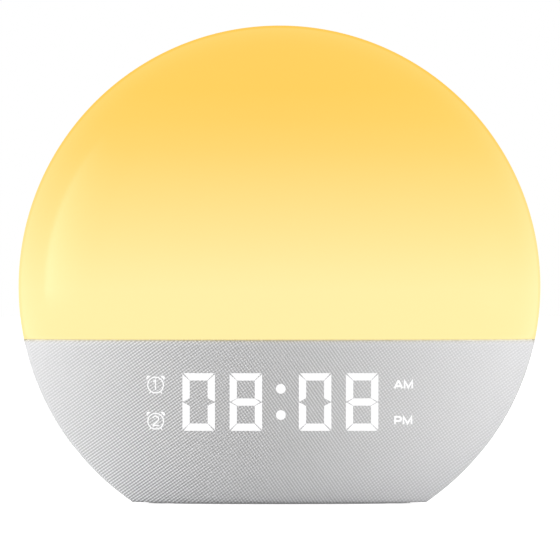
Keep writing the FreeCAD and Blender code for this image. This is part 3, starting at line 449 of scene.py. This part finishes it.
def woven_group():
    """Two crossing families of fine threads, laid out along the cloth's own lengths. The threads also
    darken and lighten the colour: partly the yarn's own pattern, partly painted shade between the threads.
    """
    group, start, end = new_group("Fine weave", [
        ("Pitch", "NodeSocketFloat", 0.94 * MM),
        ("Slant", "NodeSocketFloat", math.radians(35)),
        ("Colour", "NodeSocketColor", (0.6, 0.6, 0.6, 1)),
        ("Depth", "NodeSocketFloat", 0.35),
    ], [("Colour", "NodeSocketColor"), ("Height", "NodeSocketFloat")])
    lengths = node(group, "ShaderNodeUVMap", uv_map="cloth_lengths")
    split = node(group, "ShaderNodeSeparateXYZ")
    wander = node(group, "ShaderNodeTexNoise", in_Scale=45.0, in_Detail=2.0)
    join(group, lengths.outputs[0], wander.inputs["Vector"])
    join(group, lengths.outputs[0], split.inputs[0])
    cosine = maths(group, "COSINE", start.outputs["Slant"])
    sine = maths(group, "SINE", start.outputs["Slant"])
    turn = maths(group, "DIVIDE", 2 * math.pi, start.outputs["Pitch"])
    along = maths(group, "ADD", maths(group, "MULTIPLY", split.outputs[0], cosine),
                  maths(group, "MULTIPLY", split.outputs[1], sine))
    across = maths(group, "SUBTRACT", maths(group, "MULTIPLY", split.outputs[1], cosine),
                   maths(group, "MULTIPLY", split.outputs[0], sine))
    sway = maths(group, "MULTIPLY", maths(group, "SUBTRACT", wander.outputs[0], 0.5), THREAD_SWAY)
    waves = []
    for length in (along, across):
        phase = maths(group, "ADD", maths(group, "MULTIPLY", length, turn), sway)
        waves.append(maths(group, "MULTIPLY", maths(group, "SINE", phase), 0.5))
    falling, rising = waves
    width = node(group, "ShaderNodeMapRange", clamp=True, in_From_Min=-BODY_RADIUS,
                 in_From_Max=BODY_RADIUS)
    join(group, split.outputs[0], width.inputs["Value"])
    # Painted side light: how strongly each family's shade shows across the width
    rising_shade_strength = strength_along(group, width.outputs[0], RISING_THREAD_SHADE)
    falling_shade_strength = strength_along(group, width.outputs[0], FALLING_THREAD_SHADE)
    lower = node(group, "ShaderNodeMapRange", clamp=True, in_From_Min=SHADE_GROWS_FROM,
                 in_From_Max=SHADE_STRONGEST_AT, in_To_Min=1.0, in_To_Max=SHADE_STRONGEST)
    join(group, split.outputs[1], lower.inputs["Value"])
    rising_shade_strength = maths(group, "MULTIPLY", rising_shade_strength, lower.outputs[0])
    threads = maths(group, "ADD", maths(group, "MULTIPLY", rising, rising_shade_strength),
                    maths(group, "MULTIPLY", falling, falling_shade_strength))
    knots = maths(group, "MULTIPLY", maths(group, "MULTIPLY", rising, falling), KNOT_STRENGTH)
    fuzz = node(group, "ShaderNodeTexNoise", in_Scale=1700.0, in_Detail=2.0)
    join(group, lengths.outputs[0], fuzz.inputs["Vector"])
    loose = maths(group, "MULTIPLY", maths(group, "SUBTRACT", fuzz.outputs[0], 0.5), FUZZ_STRENGTH)
    yarn = maths(group, "ADD", maths(group, "ADD", threads, knots), loose)
    # Painted shade: the threads darken the colour between them and lighten it on their crowns, by Depth, on
    # top of the yarn's own pattern and the loose fibres
    shade = maths(group, "ADD", maths(group, "MULTIPLY", yarn, start.outputs["Depth"]), 1.0)
    join(group, multiplied(group, start.outputs["Colour"], shade), end.inputs["Colour"])
    join(group, yarn, end.inputs["Height"])
    return group


def place_group(tree, group, **values):
    """A group node in a material, with its inputs given by name."""
    made = tree.nodes.new("ShaderNodeGroup")
    made.node_tree = group
    for name, value in values.items():
        made.inputs[name.replace("_", " ")].default_value = value
    return made


def bump(tree, height, strength, distance, shader):
    """Let a height tilt the shader's normal."""
    made = node(tree, "ShaderNodeBump", in_Strength=strength, in_Distance=distance)
    join(tree, height, made.inputs["Height"])
    join(tree, made.outputs[0], shader.inputs["Normal"])


def moulded_material(name, colour, roughness, grain=2600.0, depth=0.02 * MM, metallic=0.0,
                     strength=0.35):
    """Moulded plastic, rubber or plain metal with its own fine texture."""
    material, tree, shader = new_material(name)
    skin = place_group(tree, GROUPS["moulded"], Colour=(*colour, 1), Grain_size=grain, Roughness=roughness)
    join(tree, skin.outputs["Colour"], shader.inputs["Base Color"])
    join(tree, skin.outputs["Roughness"], shader.inputs["Roughness"])
    shader.inputs["Metallic"].default_value = metallic
    bump(tree, skin.outputs["Height"], strength, depth, shader)
    shader.inputs["Specular IOR Level"].default_value = 0.12
    return material


# How far the glow's colour has turned to amber, along the way from GLOW_LOW (0) to GLOW_HIGH (1)
GLOW_DEEPENING = ((0.0, 0.0), (0.10, 0.10), (0.30, 0.345), (0.50, 0.575), (0.70, 0.81), (0.85, 0.93),
                  (1.0, 1.0))


def opal_material(settings):
    """The lit opal dome: an even glow whose colour deepens from the seam to the top."""
    material, tree, shader = new_material("lit_opal")
    place = node(tree, "ShaderNodeTexCoord")
    split = node(tree, "ShaderNodeSeparateXYZ")
    join(tree, place.outputs["Object"], split.inputs[0])
    span = node(tree, "ShaderNodeMapRange", clamp=True, in_From_Min=GLOW_LOW, in_From_Max=GLOW_HIGH)
    join(tree, split.outputs[2], span.inputs["Value"])
    low, top = settings.low_colour, settings.top_colour
    stops = [(place_along, [a + (b - a) * share for a, b in zip(low, top)])
             for place_along, share in GLOW_DEEPENING]
    join(tree, colour_along(tree, span.outputs[0], stops), shader.inputs["Emission Color"])
    shader.inputs["Emission Strength"].default_value = settings.glow
    cloudy = node(tree, "ShaderNodeTexNoise", in_Scale=18.0, in_Detail=2.0)
    join(tree, place.outputs["Object"], cloudy.inputs["Vector"])
    tone = between(tree, cloudy.outputs[0], (0.055, 0.034, 0.008), (0.062, 0.039, 0.011))
    join(tree, tone, shader.inputs["Base Color"])
    rough = maths(tree, "MULTIPLY_ADD", cloudy.outputs[0], 0.04, 0.14)
    join(tree, rough, shader.inputs["Roughness"])
    # The gloss fades towards the outline, so that the bright floor doesn't pale the rim
    grazing = node(tree, "ShaderNodeLayerWeight", in_Blend=0.5)
    gloss = node(tree, "ShaderNodeMapRange", clamp=True, in_From_Min=0.55, in_From_Max=0.80,
                 in_To_Min=0.04, in_To_Max=0.0)
    join(tree, grazing.outputs["Facing"], gloss.inputs["Value"])
    join(tree, gloss.outputs[0], shader.inputs["Specular IOR Level"])
    return material


def cloth_material(settings):
    """Grey cloth with a fine weave and a faint sheen."""
    material, tree, shader = new_material("woven_cloth")
    # Depth sets how far the weave's painted shade darkens and lightens the colour
    weave = place_group(tree, GROUPS["woven"], Pitch=settings.pitch, Slant=settings.slant,
                        Colour=(*settings.colour, 1), Depth=0.66)
    join(tree, weave.outputs["Colour"], shader.inputs["Base Color"])
    bump(tree, weave.outputs["Height"], 0.5, 0.12 * MM, shader)
    shader.inputs["Roughness"].default_value = 0.9
    shader.inputs["Sheen Weight"].default_value = 0.08
    shader.inputs["Sheen Roughness"].default_value = 0.5
    shader.inputs["Specular IOR Level"].default_value = 0.2
    return material


def lit_figure_material(settings):
    """White light that comes through the threads of the cloth."""
    material, tree, shader = new_material("lit_figures")
    place = node(tree, "ShaderNodeTexCoord")
    speckle = node(tree, "ShaderNodeTexNoise", in_Scale=1500.0, in_Detail=1.0)
    join(tree, place.outputs["Object"], speckle.inputs["Vector"])
    tone = between(tree, speckle.outputs[0], (0.96, 0.96, 0.97), (1, 1, 1))
    join(tree, tone, shader.inputs["Emission Color"])
    shader.inputs["Emission Strength"].default_value = settings.glow
    unlit = between(tree, speckle.outputs[0], (0.05, 0.05, 0.05), (0.08, 0.08, 0.08))
    join(tree, unlit, shader.inputs["Base Color"])
    shader.inputs["Roughness"].default_value = 0.8
    return material


# The shared node groups, made by main
GROUPS = {}


def give(material, *nodes):
    """Put one material on CAD nodes."""
    for name in nodes:
        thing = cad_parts[name]
        thing.data.materials.clear()
        thing.data.materials.append(material)


# Operators, one for each piece or group of like pieces

class CLOCK_OT_dome(bpy.types.Operator):
    """Make the lit opal dome"""
    bl_idname = "clock.dome"
    bl_label = "Opal dome"

    def execute(self, context):
        settings = context.scene.clock_dome
        dome = front_skin("dome_skin", DOME_LOW.z, DOME_HIGH.z, settings.wall, settings.rows,
                          settings.columns)
        dome.data.materials.append(opal_material(settings))
        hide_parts("light_dome")
        return {"FINISHED"}


class CLOCK_OT_cloth(bpy.types.Operator):
    """Stretch the woven cloth over the lower front"""
    bl_idname = "clock.cloth"
    bl_label = "Cloth"

    def execute(self, context):
        settings = context.scene.clock_cloth
        cloth = front_skin("cloth_skin", CLOTH_LOW.z, CLOTH_HIGH.z, settings.thickness, settings.rows,
                           settings.columns, edge=0.3 * MM)
        cloth.data.materials.append(cloth_material(settings))
        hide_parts("fabric_cover")
        return {"FINISHED"}


# The bars that each digit lights: a at the top, then clockwise to f, and g across the middle
LIT_BARS = {
    "0": "abcdef", "1": "bc", "2": "abdeg", "3": "abcdg", "4": "bcfg",
    "5": "acdfg", "6": "acdefg", "7": "abc", "8": "abcdefg", "9": "abcdfg",
}
# How far a bar's corners are cut back, in gaps: at the digit's corners, at its waist inside and
# outside, and at the points of the middle bar
CORNER_CUT = 3.2
WAIST_CUT_INSIDE = 1.6
WAIST_CUT_OUTSIDE = 2.4
WAIST_INSET = 2
POINT_CUT = 6


def bar_outlines(settings, centre, figure):
    """The mitred outlines of the lit bars of one digit."""
    lit = LIT_BARS[figure]
    half, tall, bar, gap = settings.wide / 2, settings.tall / 2, settings.bar, settings.gap
    middle = settings.middle
    corner = gap * CORNER_CUT
    outlines = []
    for name, sign in (("a", 1), ("d", -1)):
        if name in lit:
            edge, inner = middle + sign * tall, middle + sign * (tall - bar)
            outlines.append([(centre - half + corner, edge), (centre + half - corner, edge),
                             (centre + half - bar - gap, inner), (centre - half + bar + gap, inner)])
    for name, side, sign in (("f", -1, 1), ("b", 1, 1), ("e", -1, -1), ("c", 1, -1)):
        if name in lit:
            out, into = centre + side * half, centre + side * (half - bar)
            top = middle + sign * tall
            waist = centre + side * (half - gap * WAIST_INSET)
            outlines.append([(out, top - sign * corner), (into, top - sign * (bar + gap)),
                             (into, middle + sign * (bar / 2 + gap)),
                             (waist, middle + sign * gap * WAIST_CUT_INSIDE),
                             (out, middle + sign * gap * WAIST_CUT_OUTSIDE)])
    if "g" in lit:
        point, shoulder = half - gap * POINT_CUT, half - bar - gap
        outlines.append([(centre - point, middle), (centre - shoulder, middle + bar / 2),
                         (centre + shoulder, middle + bar / 2), (centre + point, middle),
                         (centre + shoulder, middle - bar / 2), (centre - shoulder, middle - bar / 2)])
    return outlines


def round_outline(x, z, radius, sides=28, start=0.0, sweep=2 * math.pi):
    """A disc, or the part of one that a smaller sweep takes in."""
    count = sides if sweep >= 2 * math.pi else sides + 1
    return [(x + radius * math.cos(start + sweep * number / sides),
             z + radius * math.sin(start + sweep * number / sides)) for number in range(count)]


def ring_outlines(x, z, radius, line, sides=36):
    """A ring as short quads."""
    pieces = []
    for number in range(sides):
        first, last = (2 * math.pi * (number + step) / sides for step in (0, 1))
        inner, outer = radius - line / 2, radius + line / 2
        pieces.append([(x + inner * math.cos(first), z + inner * math.sin(first)),
                       (x + outer * math.cos(first), z + outer * math.sin(first)),
                       (x + outer * math.cos(last), z + outer * math.sin(last)),
                       (x + inner * math.cos(last), z + inner * math.sin(last))])
    return pieces


# The cosine at which the meeting of two strokes stops growing outwards
SHARPEST_MITRE = 0.45


def stroke_outlines(points, line):
    """A line of even width through points, as quads that meet in the middle of each corner."""
    points = [Vector(point) for point in points]
    ways = [(last - first).normalized() for first, last in zip(points, points[1:])]
    sides = []
    for number, point in enumerate(points):
        after = ways[min(number, len(ways) - 1)]
        middle = (ways[max(number - 1, 0)] + after).normalized()
        side = Vector((-middle.y, middle.x)) * line / 2 / max(SHARPEST_MITRE, middle.dot(after))
        sides.append((point + side, point - side))
    return [[tuple(first[0]), tuple(last[0]), tuple(last[1]), tuple(first[1])]
            for first, last in zip(sides, sides[1:])]


def arc_points(x, z, across, up, start, end, steps=8):
    """Points on part of an oval, between two angles in degrees."""
    turns = [math.radians(start + (end - start) * number / steps) for number in range(steps + 1)]
    return [(x + across * math.cos(turn), z + up * math.sin(turn)) for turn in turns]


# The strokes of the figures in the dials, in millimetres from the middle of the dial
DIAL_STROKES = {
    1: [[(-0.85, 1.02), (0.0, 1.72)], [(0.0, 1.85), (0.0, -1.75)]],
    2: [[*arc_points(0.0, 0.75, 1.02, 1.0, 165, -45, 14), (-1.0, -1.45)], [(-1.15, -1.5), (1.15, -1.5)]],
}


def alarm_sign(x, z, figure):
    """A little twin bell clock with a figure in its dial."""
    radius, line = 2.72 * MM, 0.42 * MM
    bell_radius, bell_out, bell_up = 0.88 * MM, 2.35 * MM, 2.40 * MM
    foot_out, foot_down, toe_out, toe_down = 1.75 * MM, 2.3 * MM, 0.42 * MM, 0.62 * MM
    pieces = ring_outlines(x, z, radius, line)
    for side in (-1, 1):
        tilt = math.radians(90 - side * 45)
        pieces.append(round_outline(x + side * bell_out, z + bell_up, bell_radius, 12,
                                    tilt - math.pi / 2, math.pi))
        foot_x, foot_z = x + side * foot_out, z - foot_down
        pieces += stroke_outlines([(foot_x, foot_z), (foot_x + side * toe_out, foot_z - toe_down)], line)
    for stroke in DIAL_STROKES[figure]:
        pieces += stroke_outlines([(x + a * MM, z + b * MM) for a, b in stroke], line)
    return pieces


# The width of each letter and its strokes, for a letter of height 1
LETTERS = {
    "A": (0.84, [[(0.0, 0.0), (0.38, 1.0), (0.46, 1.0), (0.84, 0.0)], [(0.16, 0.30), (0.68, 0.30)]]),
    "M": (0.84, [[(0.0, 0.0), (0.0, 1.0), (0.42, 0.10), (0.84, 1.0), (0.84, 0.0)]]),
    "P": (0.64, [[(0.0, 0.0), (0.0, 1.0), *arc_points(0.38, 0.72, 0.26, 0.28, 90, -90), (0.0, 0.44)]]),
    "S": (0.62, [[*arc_points(0.31, 0.74, 0.29, 0.26, 25, 250),
                  *arc_points(0.31, 0.26, 0.31, 0.26, 70, -155)]]),
    "N": (0.70, [[(0.0, 0.0), (0.0, 1.0), (0.70, 0.0), (0.70, 1.0)]]),
    "O": (0.80, [arc_points(0.40, 0.50, 0.40, 0.50, 90, 450, 20)]),
    "Z": (0.64, [[(0.0, 1.0), (0.64, 1.0), (0.0, 0.0), (0.64, 0.0)]]),
    "E": (0.58, [[(0.58, 1.0), (0.0, 1.0), (0.0, 0.0), (0.58, 0.0)], [(0.08, 0.52), (0.50, 0.52)]]),
    "5": (0.60, [[(0.54, 1.0), (0.10, 1.0), (0.04, 0.54),
                  *arc_points(0.28, 0.31, 0.32, 0.31, 115, -140)]]),
    "V": (0.76, [[(0.0, 1.0), (0.38, 0.0), (0.76, 1.0)]]),
    " ": (0.30, []),
}
LETTER_SPACE = 0.26


def word_outlines(text, x, z, height, width, line):
    """The outlines of a short word, fitted into a width and a height about its middle."""
    total = sum(LETTERS[letter][0] for letter in text) + LETTER_SPACE * (len(text) - 1)
    tall, wide = height - line, (width - line) / total
    start = x - (width - line) / 2
    pieces = []
    for letter in text:
        for stroke in LETTERS[letter][1]:
            points = [(start + across * wide, z - tall / 2 + up * tall) for across, up in stroke]
            pieces += stroke_outlines(points, line)
        start += (LETTERS[letter][0] + LETTER_SPACE) * wide
    return pieces


# Places and sizes of the lit figures in the front view, in millimetres
DIGIT_CENTRES = (-27.88, -11.61, 12.27, 28.50)
COLON_ASIDE = 0.45
COLON_HEIGHTS = (39.32, 30.29)
COLON_RADIUS = 1.68
ALARM_SIGN_ASIDE = -42.77
ALARM_SIGN_HEIGHTS = {1: 40.60, 2: 28.09}
# The two words, each with its x, its z, its height and its width
WORDS = (("AM", 42.77, 40.72, 3.27, 6.76), ("PM", 42.75, 28.31, 3.27, 6.37))
WORD_LINE = 0.68
# How finely the figures are cut to follow the rounded front
DIGIT_STEP = 2.0
COLON_STEP = 1.2
SIGN_STEP = 1.5


class CLOCK_OT_figures(bpy.types.Operator):
    """Lay the lit digits, colon and signs on the cloth"""
    bl_idname = "clock.figures"
    bl_label = "Lit figures"

    def execute(self, context):
        settings = context.scene.clock_display
        lit = lit_figure_material(settings)
        figures = []
        for number, (centre, figure) in enumerate(zip(DIGIT_CENTRES, settings.shown)):
            outlines = bar_outlines(settings, centre * MM, figure)
            figures.append((f"digit_{number + 1}", outlines, DIGIT_STEP))
        dots = [round_outline(COLON_ASIDE * MM, height * MM, COLON_RADIUS * MM) for height in COLON_HEIGHTS]
        figures.append(("colon", dots, COLON_STEP))
        for figure, height in ALARM_SIGN_HEIGHTS.items():
            outlines = alarm_sign(ALARM_SIGN_ASIDE * MM, height * MM, figure)
            figures.append((f"alarm_sign_{figure}", outlines, SIGN_STEP))
        for text, x, z, height, width in WORDS:
            outlines = word_outlines(text, x * MM, z * MM, height * MM, width * MM, WORD_LINE * MM)
            figures.append((f"sign_{text.lower()}", outlines, SIGN_STEP))
        for name, outlines, step in figures:
            sign = project_figures(name, outlines, settings.lift, step * MM)
            sign.data.materials.append(lit)
        return {"FINISHED"}


KEYS = [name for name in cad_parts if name.startswith("key_")
        and name not in ("key_board", "key_switches", "key_board_screws", "key_lead")]


class CLOCK_OT_shells(bpy.types.Operator):
    """Finish the white shells, the keys and the foot"""
    bl_idname = "clock.shells"
    bl_label = "Shells and keys"

    def execute(self, context):
        settings = context.scene.clock_shell
        shell = moulded_material("white_shell_skin", settings.colour, 0.48)
        give(shell, "rear_housing", "base_shell", "base_plate", "battery_door")
        give(moulded_material("white_frame_skin", (0.86, 0.86, 0.85), 0.4), "reflector_frame", "lamp_board",
             "lead_plugs")
        give(moulded_material("key_skin", settings.key_colour, 0.5), *KEYS)
        give(moulded_material("pad_rubber_skin", (0.34, 0.34, 0.34), 0.75, grain=1800.0, depth=0.04 * MM),
             "base_pad", "speaker_gasket")
        return {"FINISHED"}


class CLOCK_OT_inner_parts(bpy.types.Operator):
    """Finish the boards, screws, speaker and the other inner parts"""
    bl_idname = "clock.inner_parts"
    bl_label = "Inner parts"

    def execute(self, context):
        screws = [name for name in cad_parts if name.endswith("_screws")]
        give(moulded_material("zinc_plate", (0.55, 0.56, 0.58), 0.32, metallic=1.0, strength=0.15), *screws)
        give(moulded_material("bright_steel", (0.66, 0.67, 0.69), 0.22, metallic=1.0, strength=0.1),
             "coin_cell", "inlet_shell", "speaker_magnet")
        give(moulded_material("brass_leaf", (0.72, 0.55, 0.25), 0.28, metallic=1.0, strength=0.1),
             "cell_contact")
        give(moulded_material("pressed_can", (0.62, 0.63, 0.65), 0.3, metallic=1.0, strength=0.15),
             "capacitors", "clock_crystal", "speaker_frame")
        give(moulded_material("board_mask", (0.02, 0.16, 0.07), 0.35, grain=1500.0), "display_board",
             "main_board", "key_board", "inlet_board")
        give(moulded_material("black_moulding", (0.025, 0.025, 0.028), 0.5), "main_chips", "key_switches",
             "cell_holder", "inlet_tongue", "display_block")
        give(moulded_material("cone_paper_skin", (0.05, 0.05, 0.052), 0.85, grain=900.0, depth=0.05 * MM),
             "speaker_cone")
        give(moulded_material("lead_sheath_skin", (0.06, 0.06, 0.065), 0.5), "lamp_lead", "display_lead",
             "key_lead", "speaker_lead", "power_lead")
        give(moulded_material("led_lens", (0.85, 0.74, 0.35), 0.3), "lamp_leds", "display_leds")
        give(moulded_material("pipe_milk", (0.82, 0.83, 0.84), 0.35), "segment_pipes")
        give(moulded_material("pane_smoke", (0.25, 0.25, 0.26), 0.25), "display_window")
        return {"FINISHED"}


def clock_mark(figure):
    """The outlines of a mark about its own middle, in metres."""
    line = 0.50 * MM
    if figure in (1, 2):
        size = 0.92
        return [[(x * size, z * size) for x, z in outline] for outline in alarm_sign(0.0, 0.0, figure)]
    if figure == "time":
        dial_radius = 2.9 * MM
        hands = stroke_outlines([(0, 1.8 * MM), (0, 0), (1.3 * MM, -0.5 * MM)], line)
        return ring_outlines(0, 0, dial_radius, line) + hands
    if figure == "sun":
        disc_radius, ray_start, ray_end = 1.4 * MM, 2.1 * MM, 3.2 * MM
        rays = []
        for step in range(8):
            turn = math.pi * step / 4
            rays += stroke_outlines([(ray_start * math.cos(turn), ray_start * math.sin(turn)),
                                     (ray_end * math.cos(turn), ray_end * math.sin(turn))], line)
        return [round_outline(0, 0, disc_radius, 20)] + rays
    if figure in ("minus", "plus"):
        reach = 2.3 * MM
        bars = stroke_outlines([(-reach, 0), (reach, 0)], line)
        if figure == "plus":
            bars += stroke_outlines([(0, line / 2), (0, reach)], line)
            bars += stroke_outlines([(0, -reach), (0, -line / 2)], line)
        return bars
    back, neck, mouth, throat, flare = -2.9 * MM, -1.8 * MM, -0.4 * MM, 0.8 * MM, 2.0 * MM
    horn = [[(back, throat), (back, -throat), (neck, -throat), (mouth, -flare), (mouth, flare),
             (neck, throat)]]
    arc_step = 1.3
    for number in range(1 if figure == "quieter" else 2):
        radius = (arc_step + arc_step * number) * MM
        horn += stroke_outlines(arc_points(0, 0, radius, radius, -45, 45, 6), line)
    return horn


KEY_MARKS = {
    "key_alarm_one": 1,
    "key_alarm_two": 2,
    "key_time_set": "time",
    "key_light": "sun",
    "key_minus": "minus",
    "key_plus": "plus",
    "key_quieter": "quieter",
    "key_louder": "louder",
}


class CLOCK_OT_key_marks(bpy.types.Operator):
    """Print a small generic mark in the dish of each key, and a word over the socket"""
    bl_idname = "clock.key_marks"
    bl_label = "Key marks"

    def execute(self, context):
        ink = moulded_material("mark_ink", context.scene.clock_shell.mark_colour, 0.6)
        marks = {key: clock_mark(figure) for key, figure in KEY_MARKS.items()}
        marks["key_snooze"] = word_outlines("SNOOZE", 0, 0, 3.2 * MM, 18 * MM, 0.45 * MM)
        for key, outlines in marks.items():
            low, high = node_box(key)
            middle = (low + high) / 2
            self.print_mark(f"mark_{key[4:]}", f"{key}_body", outlines, middle.x, middle.z,
                            high.y - CAP_DISH + INK_LIFT, ink)
        low, high = node_box("inlet_shell")
        above_socket = 3.4 * MM
        word = word_outlines("5 V", 0, 0, 2.2 * MM, 5.4 * MM, 0.34 * MM)
        self.print_mark("mark_socket", "clock", word, (low.x + high.x) / 2, high.z + above_socket,
                        BACK_Y + INK_LIFT, ink)
        return {"FINISHED"}

    def print_mark(self, name, body, outlines, x, z, y, ink):
        """Thin ink on a face that looks to the rear, the right way round from behind."""
        piece = new_piece(name, body)
        made = bmesh.new()
        for outline in outlines:
            one = made.faces.new([made.verts.new((x - across, y, z + up)) for across, up in outline])
            one.normal_update()
            if one.normal.y < 0:
                one.normal_flip()
        fill(piece, made)
        piece.data.materials.append(ink)


class CLOCK_OT_stage(bpy.types.Operator):
    """Set up the floor, the lamps, the world and the camera"""
    bl_idname = "clock.stage"
    bl_label = "Stage"

    def execute(self, context):
        settings = context.scene.clock_stage
        make_floor()
        make_world(context.scene)
        make_lamps()
        make_camera(context.scene, settings)
        context.scene.view_settings.view_transform = "Standard"
        return {"FINISHED"}


# How bright the floor glows where it is seen, and what floor and world give as light
FLOOR_GLOW = 0.78
FLOOR_LIGHT = 0.03
WORLD_LIGHT = 0.30


def make_floor():
    """A pale floor that keeps the shadow, looks white and can't be seen from below."""
    floor = new_object("floor")
    made = bmesh.new()
    bmesh.ops.create_grid(made, x_segments=1, y_segments=1, size=30.0)
    fill(floor, made)
    floor.location.z = -FLOOR_DROP
    material, tree, shader = new_material("pale_floor")
    shader.inputs["Base Color"].default_value = (0.8, 0.8, 0.8, 1)
    shader.inputs["Roughness"].default_value = 0.9
    glow = seen_strength(tree, FLOOR_GLOW, FLOOR_LIGHT)
    shader.inputs["Emission Color"].default_value = (1, 1, 1, 1)
    join(tree, glow, shader.inputs["Emission Strength"])
    under = node(tree, "ShaderNodeNewGeometry")
    clear = node(tree, "ShaderNodeBsdfTransparent")
    mixed = node(tree, "ShaderNodeMixShader")
    join(tree, under.outputs["Backfacing"], mixed.inputs[0])
    join(tree, shader.outputs[0], mixed.inputs[1])
    join(tree, clear.outputs[0], mixed.inputs[2])
    join(tree, mixed.outputs[0], tree.nodes["Material Output"].inputs["Surface"])
    floor.data.materials.append(material)


def make_world(scene):
    """White for what is seen past the floor, and a softer grey as light."""
    world = bpy.data.worlds.new("studio")
    world.use_nodes = True
    scene.world = world
    tree = world.node_tree
    back = tree.nodes["Background"]
    back.inputs["Color"].default_value = (1, 1, 1, 1)
    join(tree, seen_strength(tree, 1.0, WORLD_LIGHT), back.inputs["Strength"])


def area_lamp(name, place, aim, size, power):
    """A white softbox that gloss doesn't mirror."""
    lamp = bpy.data.lights.new(name, "AREA")
    lamp.shape = "RECTANGLE"
    lamp.size, lamp.size_y = size
    lamp.energy = power
    thing = bpy.data.objects.new(name, lamp)
    bpy.context.scene.collection.objects.link(thing)
    thing.location = place
    thing.rotation_euler = (Vector(aim) - Vector(place)).to_track_quat("-Z", "Y").to_euler()
    thing.visible_glossy = False


CARD_STRENGTH = 37.0


def make_reflection_card():
    """A curved card to the left that only reflections see. It fades towards the front and the top."""
    card = new_object("reflection_card")
    made = bmesh.new()
    fade = made.loops.layers.uv.new("fade")
    distance, across, up = 1.4, 24, 12
    first_side, side_span, first_rise, rise_span = 62, 39, -5, 47
    corners = {}
    for column in range(across + 1):
        for row in range(up + 1):
            side = math.radians(first_side + side_span * column / across)
            rise = math.radians(first_rise + rise_span * row / up)
            corners[column, row] = made.verts.new((-distance * math.sin(side) * math.cos(rise),
                                                   -distance * math.cos(side) * math.cos(rise),
                                                   CENTRE_HEIGHT + distance * math.sin(rise)))
    for column in range(across):
        for row in range(up):
            places = [(column, row), (column + 1, row), (column + 1, row + 1), (column, row + 1)]
            one = made.faces.new([corners[place] for place in places])
            for loop, (u, v) in zip(one.loops, places):
                loop[fade].uv = (u / across, v / up)
    fill(card, made)
    material, tree, shader = new_material("card_light")
    shader.inputs["Base Color"].default_value = (0, 0, 0, 1)
    place = node(tree, "ShaderNodeUVMap", uv_map="fade")
    split = node(tree, "ShaderNodeSeparateXYZ")
    join(tree, place.outputs[0], split.inputs[0])
    sideways = maths(tree, "POWER", split.outputs[0], 1.3)
    upwards = maths(tree, "MULTIPLY", maths(tree, "POWER", split.outputs[1], 0.4),
                    maths(tree, "SUBTRACT", 1.0, split.outputs[1]))
    share = maths(tree, "MULTIPLY", sideways, upwards)
    shader.inputs["Emission Color"].default_value = (1, 1, 1, 1)
    join(tree, maths(tree, "MULTIPLY", share, CARD_STRENGTH), shader.inputs["Emission Strength"])
    card.data.materials.append(material)
    for ray in ("camera", "diffuse", "transmission", "shadow", "volume_scatter"):
        setattr(card, f"visible_{ray}", False)


def make_lamps():
    """Two lamps at the sides, a weak one above, one in front and one behind."""
    centre = (0, 0, CENTRE_HEIGHT)
    area_lamp("left_softbox", (-1.2, -0.05, 0.30), centre, (0.4, 0.6), 11.0)
    area_lamp("right_softbox", (1.2, -0.15, 0.08), centre, (0.4, 0.6), 14.5)
    area_lamp("high_softbox", (0.0, -0.5, 1.4), centre, (0.9, 0.9), 3.0)
    area_lamp("front_softbox", (0.45, -2.0, 0.90), centre, (0.8, 0.8), 13.0)
    area_lamp("rear_softbox", (-0.2, 1.9, 0.7), centre, (0.8, 0.8), 7.0)
    make_reflection_card()


def make_camera(scene, settings):
    """A level camera far away, whose picture takes in what the photograph does."""
    camera = bpy.data.cameras.new("camera")
    camera.sensor_width = 36.0
    camera.lens = camera.sensor_width * settings.distance / settings.view_width
    camera.clip_start = 0.1
    camera.clip_end = 100.0
    thing = bpy.data.objects.new("camera", camera)
    scene.collection.objects.link(thing)
    thing.location = (CAMERA_ASIDE, -settings.distance, settings.view_height)
    thing.rotation_euler = (math.radians(90), 0, 0)
    scene.camera = thing


class CLOCK_PT_panel(bpy.types.Panel):
    """Buttons for each piece of the clock"""
    bl_label = "Alarm clock"
    bl_idname = "CLOCK_PT_panel"
    bl_space_type = "VIEW_3D"
    bl_region_type = "UI"
    bl_category = "Alarm clock"

    def draw(self, context):
        for operator in OPERATORS:
            self.layout.operator(operator.bl_idname)


SETTINGS = {
    "clock_dome": DomeSettings,
    "clock_cloth": ClothSettings,
    "clock_display": DisplaySettings,
    "clock_shell": ShellSettings,
    "clock_stage": StageSettings,
}
OPERATORS = (
    CLOCK_OT_dome,
    CLOCK_OT_cloth,
    CLOCK_OT_figures,
    CLOCK_OT_shells,
    CLOCK_OT_inner_parts,
    CLOCK_OT_key_marks,
    CLOCK_OT_stage,
)


def register():
    """Make the settings, the operators and the panel known to Blender."""
    for settings in SETTINGS.values():
        bpy.utils.register_class(settings)
    for operator in OPERATORS:
        bpy.utils.register_class(operator)
    bpy.utils.register_class(CLOCK_PT_panel)
    for name, settings in SETTINGS.items():
        setattr(bpy.types.Scene, name, PointerProperty(type=settings))


def unregister():
    """Take everything out again, in the opposite order."""
    for name in SETTINGS:
        delattr(bpy.types.Scene, name)
    bpy.utils.unregister_class(CLOCK_PT_panel)
    for operator in reversed(OPERATORS):
        bpy.utils.unregister_class(operator)
    for settings in reversed(list(SETTINGS.values())):
        bpy.utils.unregister_class(settings)


def main():
    """Dress the frame."""
    register()
    GROUPS["moulded"] = moulded_skin_group()
    GROUPS["woven"] = woven_group()
    bpy.ops.clock.dome()
    bpy.ops.clock.cloth()
    bpy.ops.clock.figures()
    bpy.ops.clock.shells()
    bpy.ops.clock.inner_parts()
    bpy.ops.clock.key_marks()
    bpy.ops.clock.stage()


if __name__ == "__main__":
    main()
